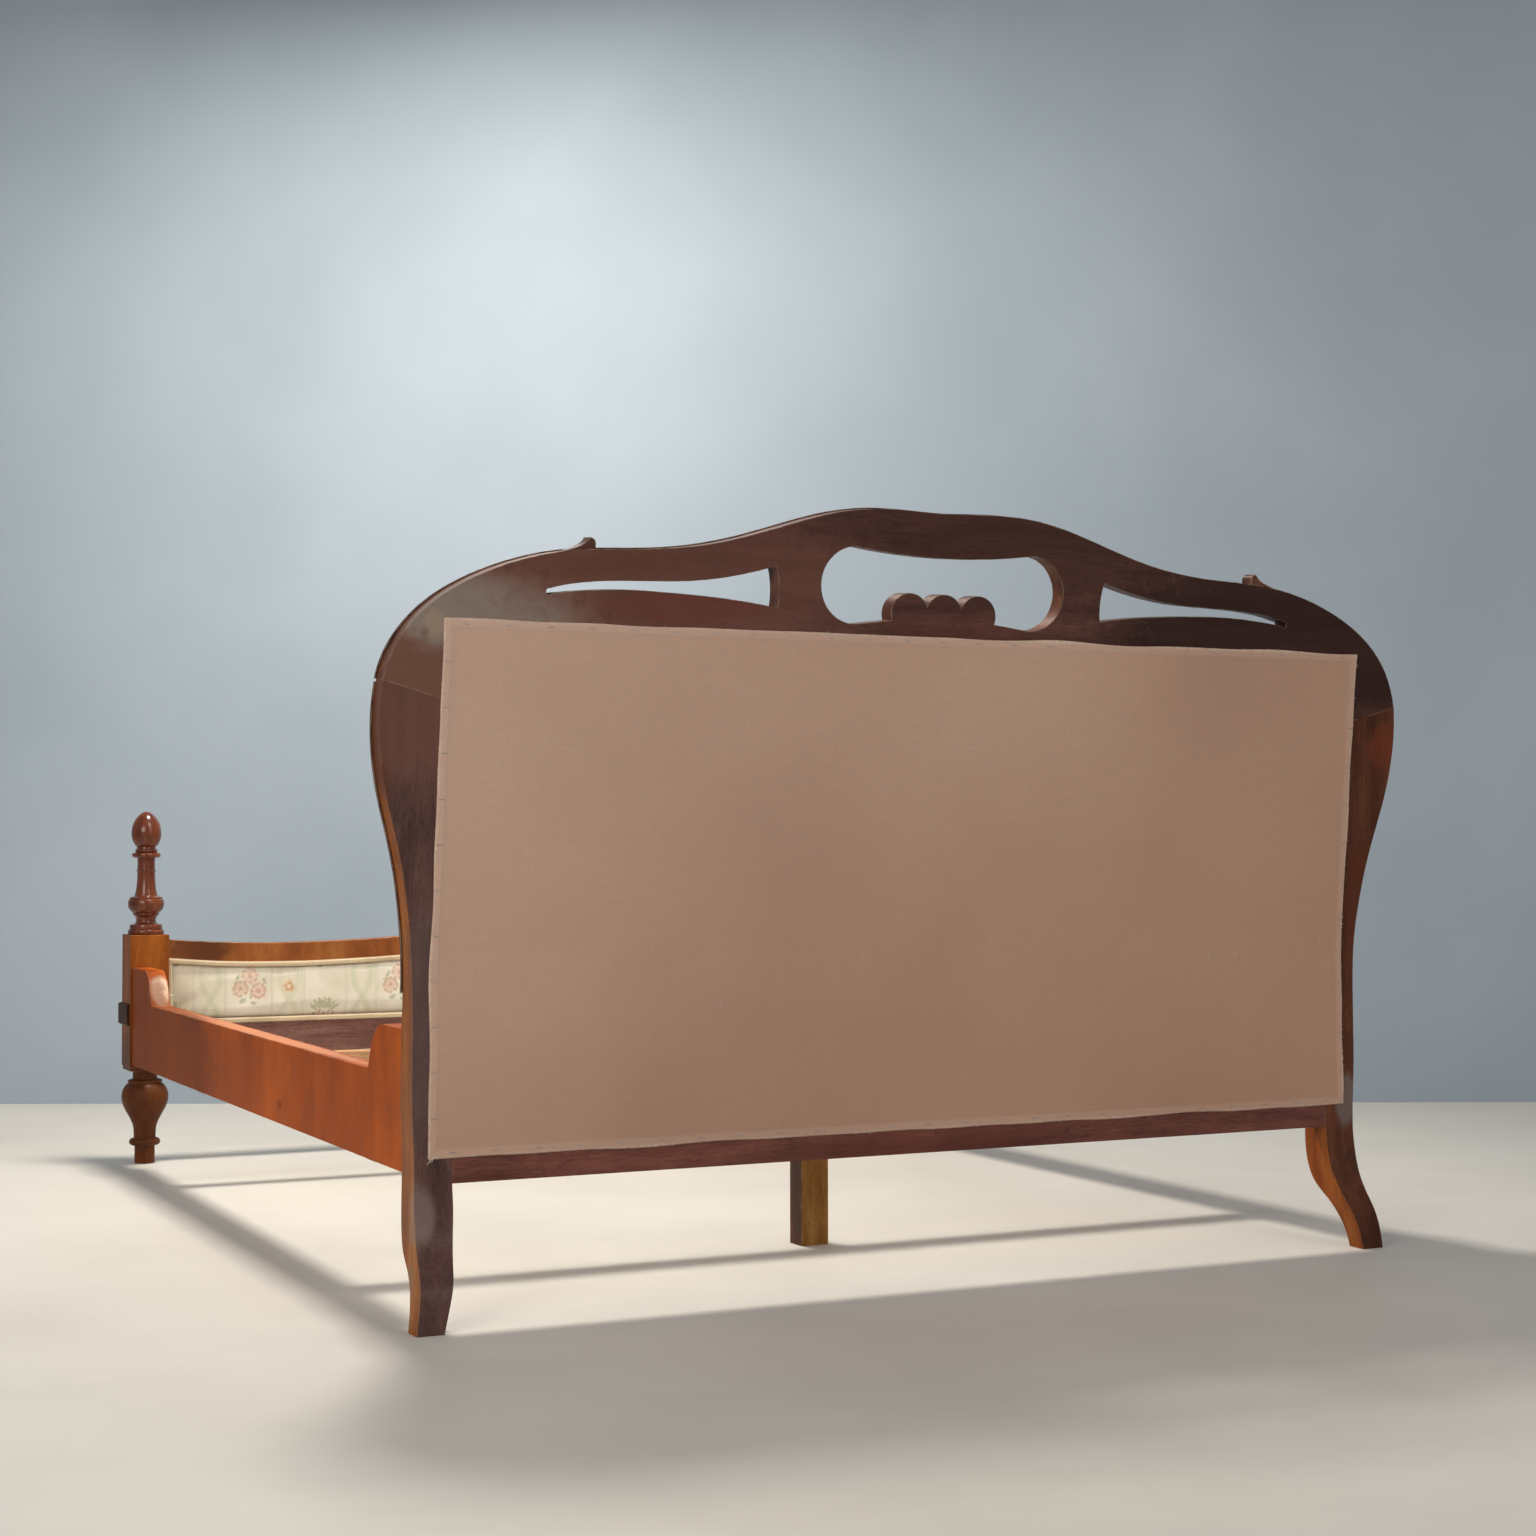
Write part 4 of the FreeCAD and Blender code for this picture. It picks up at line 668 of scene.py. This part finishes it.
def spaced(points, step):
    """A closed line of points walked in equal steps."""
    ring = points + [points[0]]
    lengths = [(b - a).length for a, b in zip(ring, ring[1:])]
    count = round(sum(lengths) / step)
    stride = sum(lengths) / count
    walked, found, at = 0.0, [], 0
    for number in range(count):
        target = number * stride
        while walked + lengths[at] < target:
            walked += lengths[at]
            at += 1
        found.append(ring[at].lerp(ring[at + 1], (target - walked) / lengths[at]))
    return found


def braid(name, node, ring, seat, out, lifted=None):
    """Gimp along a closed ring of places across and up.  seat gives how far along the bed its back
    lies, by height, and out is +1 or -1, the way it faces."""
    step = SWING_LENGTH / SAMPLES
    line = spaced(ring, step)
    count = len(line)
    points, faces = [], []

    def strand_row(offset, rise, radius, sides):
        base = len(points)
        for at in range(count):
            before, after = line[at - 1], line[(at + 1) % count]
            way = (after - before).normalized()
            side = Vector((way.y, -way.x))
            across, up = offset(at), rise(at)
            lift = lifted(line[at]) if lifted else (0.0, 0.0)
            centre = line[at] + side * across
            for turn in range(sides):
                angle = math.tau * turn / sides
                spot = centre + side * radius * math.cos(angle)
                high = up + radius * math.sin(angle) + lift[0]
                points.append(Vector((spot.x, seat(spot.y) + out * high, spot.y + lift[1])))
        for at in range(count):
            nxt = (at + 1) % count
            for turn in range(sides):
                more = (turn + 1) % sides
                faces.append((base + at * sides + turn, base + nxt * sides + turn,
                              base + nxt * sides + more, base + at * sides + more))

    def wave(at, turns, shift=0.0):
        return math.sin(math.tau * at / SAMPLES * turns + shift)

    # The two crossing cords, the flat tape below them, and a wavy cord along each edge.
    for way in (1, -1):
        strand_row(lambda at: way * CORD_SWING * wave(at, 1),
                   lambda at: CORD_HIGH + way * CORD_RISE * wave(at, 1, math.pi / 2), CORD_THICK, 6)
    for across in (-TAPE_APART, 0.0, TAPE_APART):
        strand_row(lambda at: across, lambda at: TAPE_HIGH, TAPE_THICK, 5)
    for way in (-1, 1):
        strand_row(lambda at: way * (EDGE_OUT + EDGE_SWING * wave(at, 2)),
                   lambda at: EDGE_HIGH + EDGE_RISE * wave(at, 2, math.pi / 2), EDGE_THICK, 5)
    gimp = mesh_piece(name, points, faces)
    gimp.data.materials.append(gimp_thread)
    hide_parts(node)
    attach(gimp, "frame")


# Headboard: straight sides and top with eased corners, where the pad's edge is tacked.
INSET, SEAT_DEEP = 0.007, 0.0308
PAD_HALF, PAD_LOW, PAD_STRAIGHT = 0.786, 0.318, 0.925
SIDE_STEPS = 30
corner = smooth_run([(across - INSET, height - INSET) for across, height in
                     ((PAD_HALF, 0.940), (0.760, 0.970), (0.710, 0.984))])
side_run = [Vector((PAD_HALF - INSET, PAD_LOW + (PAD_STRAIGHT - PAD_LOW) * step / SIDE_STEPS))
            for step in range(SIDE_STEPS)]
mirrored = [Vector((-point.x, point.y)) for point in side_run + corner]
ring = mirrored[:1] + side_run + corner + mirrored[:0:-1]
braid("headboard_braid", "headboard_gimp", ring, lambda height: board_back(height) + SEAT_DEEP, 1)

# Footboard: the ring follows the serpentine top rail, and laps on to the rails and the pad.
FOOT_CURVE = [(0.770, 0.486), (0.640, 0.477), (0.496, 0.474), (0.386, 0.476), (0.233, 0.483),
              (0.110, 0.493), (0.0, 0.497)]
GIMP_DROP = 0.048 - 0.007 + BRAID_WIDE / 2
top_run = [(x - 0.006 if x > 0.76 else x, z - GIMP_DROP) for x, z in FOOT_CURVE]
top_run = smooth_run(top_run + [(-x, z) for x, z in top_run[-2::-1]])
ring = [Vector((-0.764, 0.305)), Vector((0.764, 0.305))] + top_run
LOOSE_FROM, LOOSE_BELOW, LOOSE_RUN, LOOSE_OFF, LOOSE_UP = -0.68, 0.345, 0.05, 0.006, 0.020


def sprung(point):
    """The braid has come unglued at the low left corner: it stands off the pad and has ridden up."""
    if point.x > LOOSE_FROM or point.y > LOOSE_BELOW:
        return 0.0, 0.0
    along = min(1.0, (LOOSE_FROM - point.x) / LOOSE_RUN)
    return LOOSE_OFF * along, LOOSE_UP * along ** 1.5


for word, out, lifted in (("inner", -1, sprung), ("outer", 1, None)):
    low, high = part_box("footboard_gimp_" + word)
    seat = high.y if out < 0 else low.y
    braid("footboard_braid_" + word, "footboard_gimp_" + word, ring, lambda height: seat, out, lifted)

# ---- Side rails -------------------------------------------------------------------------------
# Each is a beech plank veneered with walnut whose figure runs up and down, stained a hot red-brown
# and waxed smooth.  The top edge is bare of veneer, and rubbed pale by bedding.

rail_wood = wood("waxed_walnut_veneer", (1, 1, 0.30), ("964410", "AA4E10", "BA5A14"), 0.5, 0.02, 6.0,
                 (), "E0B48C", 0.6,
                 [((side * 0.831, 0.0, 0.357), (0.024, 1.1, 0.008), "CF9470", 0.7) for side in (-1, 1)]
                 # A pale patch on the curve of each raised end is a painted highlight.
                 + [((side * 0.829, 0.80, 0.384), (0.027, 0.040, 0.055), "F0DAC0", 0.8) for side in (-1, 1)]
                 + [((-0.85, 0.10, 0.27), (0.05, 0.30, 0.10), "9A4A1C", 0.5),
                  ((-0.85, 0.75, 0.30), (0.05, 0.70, 0.25), "6E3414", 0.7),
                  ((-0.85, -0.25, 0.25), (0.02, 0.020, 0.010), "7A2A10", 0.6)], contrast=0.25)
finish(rail_wood, "side_rail_left", "side_rail_right")

# ---- Foot posts -------------------------------------------------------------------------------
# Solid walnut: a planed block over a leg turned on the lathe, with a moulded band round the block.
# The finials are turned on their own and French polished until they shine like glass.

post_wood = wood("polished_walnut_post", (1, 1, 0.06), ("66300F", "824618", "965620"), 0.38, 0.03, 22.0,
                 (), "C49A66", 0.5,
                 [((side * 0.812, 1.0224, 0.15), (0.12, 0.12, 0.22), "47291A", 0.75)
                  for side in (-1, 1)], contrast=0.7)
finish(post_wood, "footboard_post_left", "footboard_post_right")
band_wood = wood("ebonised_walnut_band", (0.1, 0.1, 1), ("342014", "42291A", "523622"), 0.42, 0.0, 22.0,
                 (), "8A6848", 0.5)
finish(band_wood, "post_band_left", "post_band_right")
finial_wood = wood("french_polished_walnut", (1, 1, 0.08), ("441C0E", "602C16", "76401F"), 0.2, 0.7, 30.0,
                   (), "8A4A2A", 0.3, contrast=0.4)
finish(finial_wood, "finial_left", "finial_right")

# ---- Footboard rails --------------------------------------------------------------------------
# The top rail is sawn to a serpentine and faced with upright strips of veneer; the low rail is
# plain stained wood, rubbed and dusty where bedding was tucked behind it.

# The pale line along its corners is rubbed wood with a painted highlight line in the same tone.
foot_rail_wood = wood("veneered_serpentine_rail", (1, 1, 0.25), ("7A4422", "90542A", "A66A38"), 0.4, 0.1,
                      10.0, (), "F0D8B6", 0.95, [((-0.70, 1.0, 0.46), (0.09, 0.05, 0.06), "4E2E1E", 0.7)],
                      contrast=0.4)
finish(foot_rail_wood, "footboard_top_rail")
foot_low_wood = wood("rubbed_walnut_low_rail", (0.08, 1, 1), ("5C3C34", "745048", "8A665C"), 0.5, 0.1,
                     20.0, (), "B79E90", 0.5,
                     [((-0.20, 1.002, 0.275), (0.05, 0.03, 0.022), "3C2420", 0.8)])
finish(foot_low_wood, "footboard_low_rail")

# ---- Bed base ---------------------------------------------------------------------------------
# Unvarnished softwood: two cross bearers, their ledgers and the stretcher behind the upholstery.
# The centre legs are walnut offcuts, paler on the face turned to the head.  The panels are plywood.

bare_wood = wood("planed_softwood", (0.05, 0.4, 1), ("C2936A", "D9AE86", "EAC8A6"), 0.6, 0.0, 30.0,
                 (), "EFD3B4", 0.3)
finish(bare_wood, "cross_bearer_head", "cross_bearer_foot", "rail_ledger_left", "rail_ledger_right",
       "headboard_middle_stretcher", "finial_dowel_left", "finial_dowel_right")
leg_wood = wood("rubbed_centre_leg", (1, 1, 0.07), ("3C2216", "523020", "6C442C"), 0.45, 0.1, 26.0,
                ("7A5228", "9C6E38", "B98A50"), "D2B488", 0.8)
finish(leg_wood, "centre_leg_head", "centre_leg_foot")
ply_wood = wood("poplar_plywood", (0.05, 1, 1), ("C9AE86", "D6BE98", "E2CCAA"), 0.65, 0.0, 24.0,
                (), "E8D6B8", 0.3)
finish(ply_wood, "headboard_panel_board", "footboard_panel_board")

# ---- Ironwork ---------------------------------------------------------------------------------
# Hook plates and stirrups are forged and blackened mild steel; screws, bolts and staples are
# zinc-plated steel, gone a little dull.


def metal(name, tones, roughness):
    """Bare metal with a mottled skin: two tones drift over a few millimetres."""
    made, tree = blank(name)
    coords = add(tree, "TexCoord", out="Object")
    mottle = add(tree, "TexNoise", {"Vector": coords, "Scale": 140.0, "Detail": 4.0, "Roughness": 0.7})
    tone = add(tree, "ValToRGB", {0: mottle}, stops=list(zip((0.35, 0.65), tones)))
    gloss = add(tree, "MapRange", {0: mottle, 1: 0.3, 2: 0.7, 3: roughness - 0.1, 4: roughness + 0.15})
    bump = add(tree, "Bump", {"Strength": 0.3, "Distance": 0.0003, "Height": mottle})
    add(tree, "OutputMaterial", {"Surface": add(tree, "BsdfPrincipled", {
        "Base Color": tone, "Metallic": 1.0, "Roughness": gloss, "Normal": bump})})
    return made


finish(metal("blackened_iron", ("2A2724", "4A423B"), 0.55),
       "head_hook_plate_left", "head_hook_plate_right", "foot_hook_plate_left", "foot_hook_plate_right",
       "head_stirrup_left", "head_stirrup_right", "foot_stirrup_left", "foot_stirrup_right")
finish(metal("zinc_plate", ("8E8F90", "BDBFC0"), 0.4),
       "hook_plate_screws", "ledger_screws", "stirrup_screws", "centre_leg_bolt_head",
       "centre_leg_bolt_foot", "back_cloth_staples")
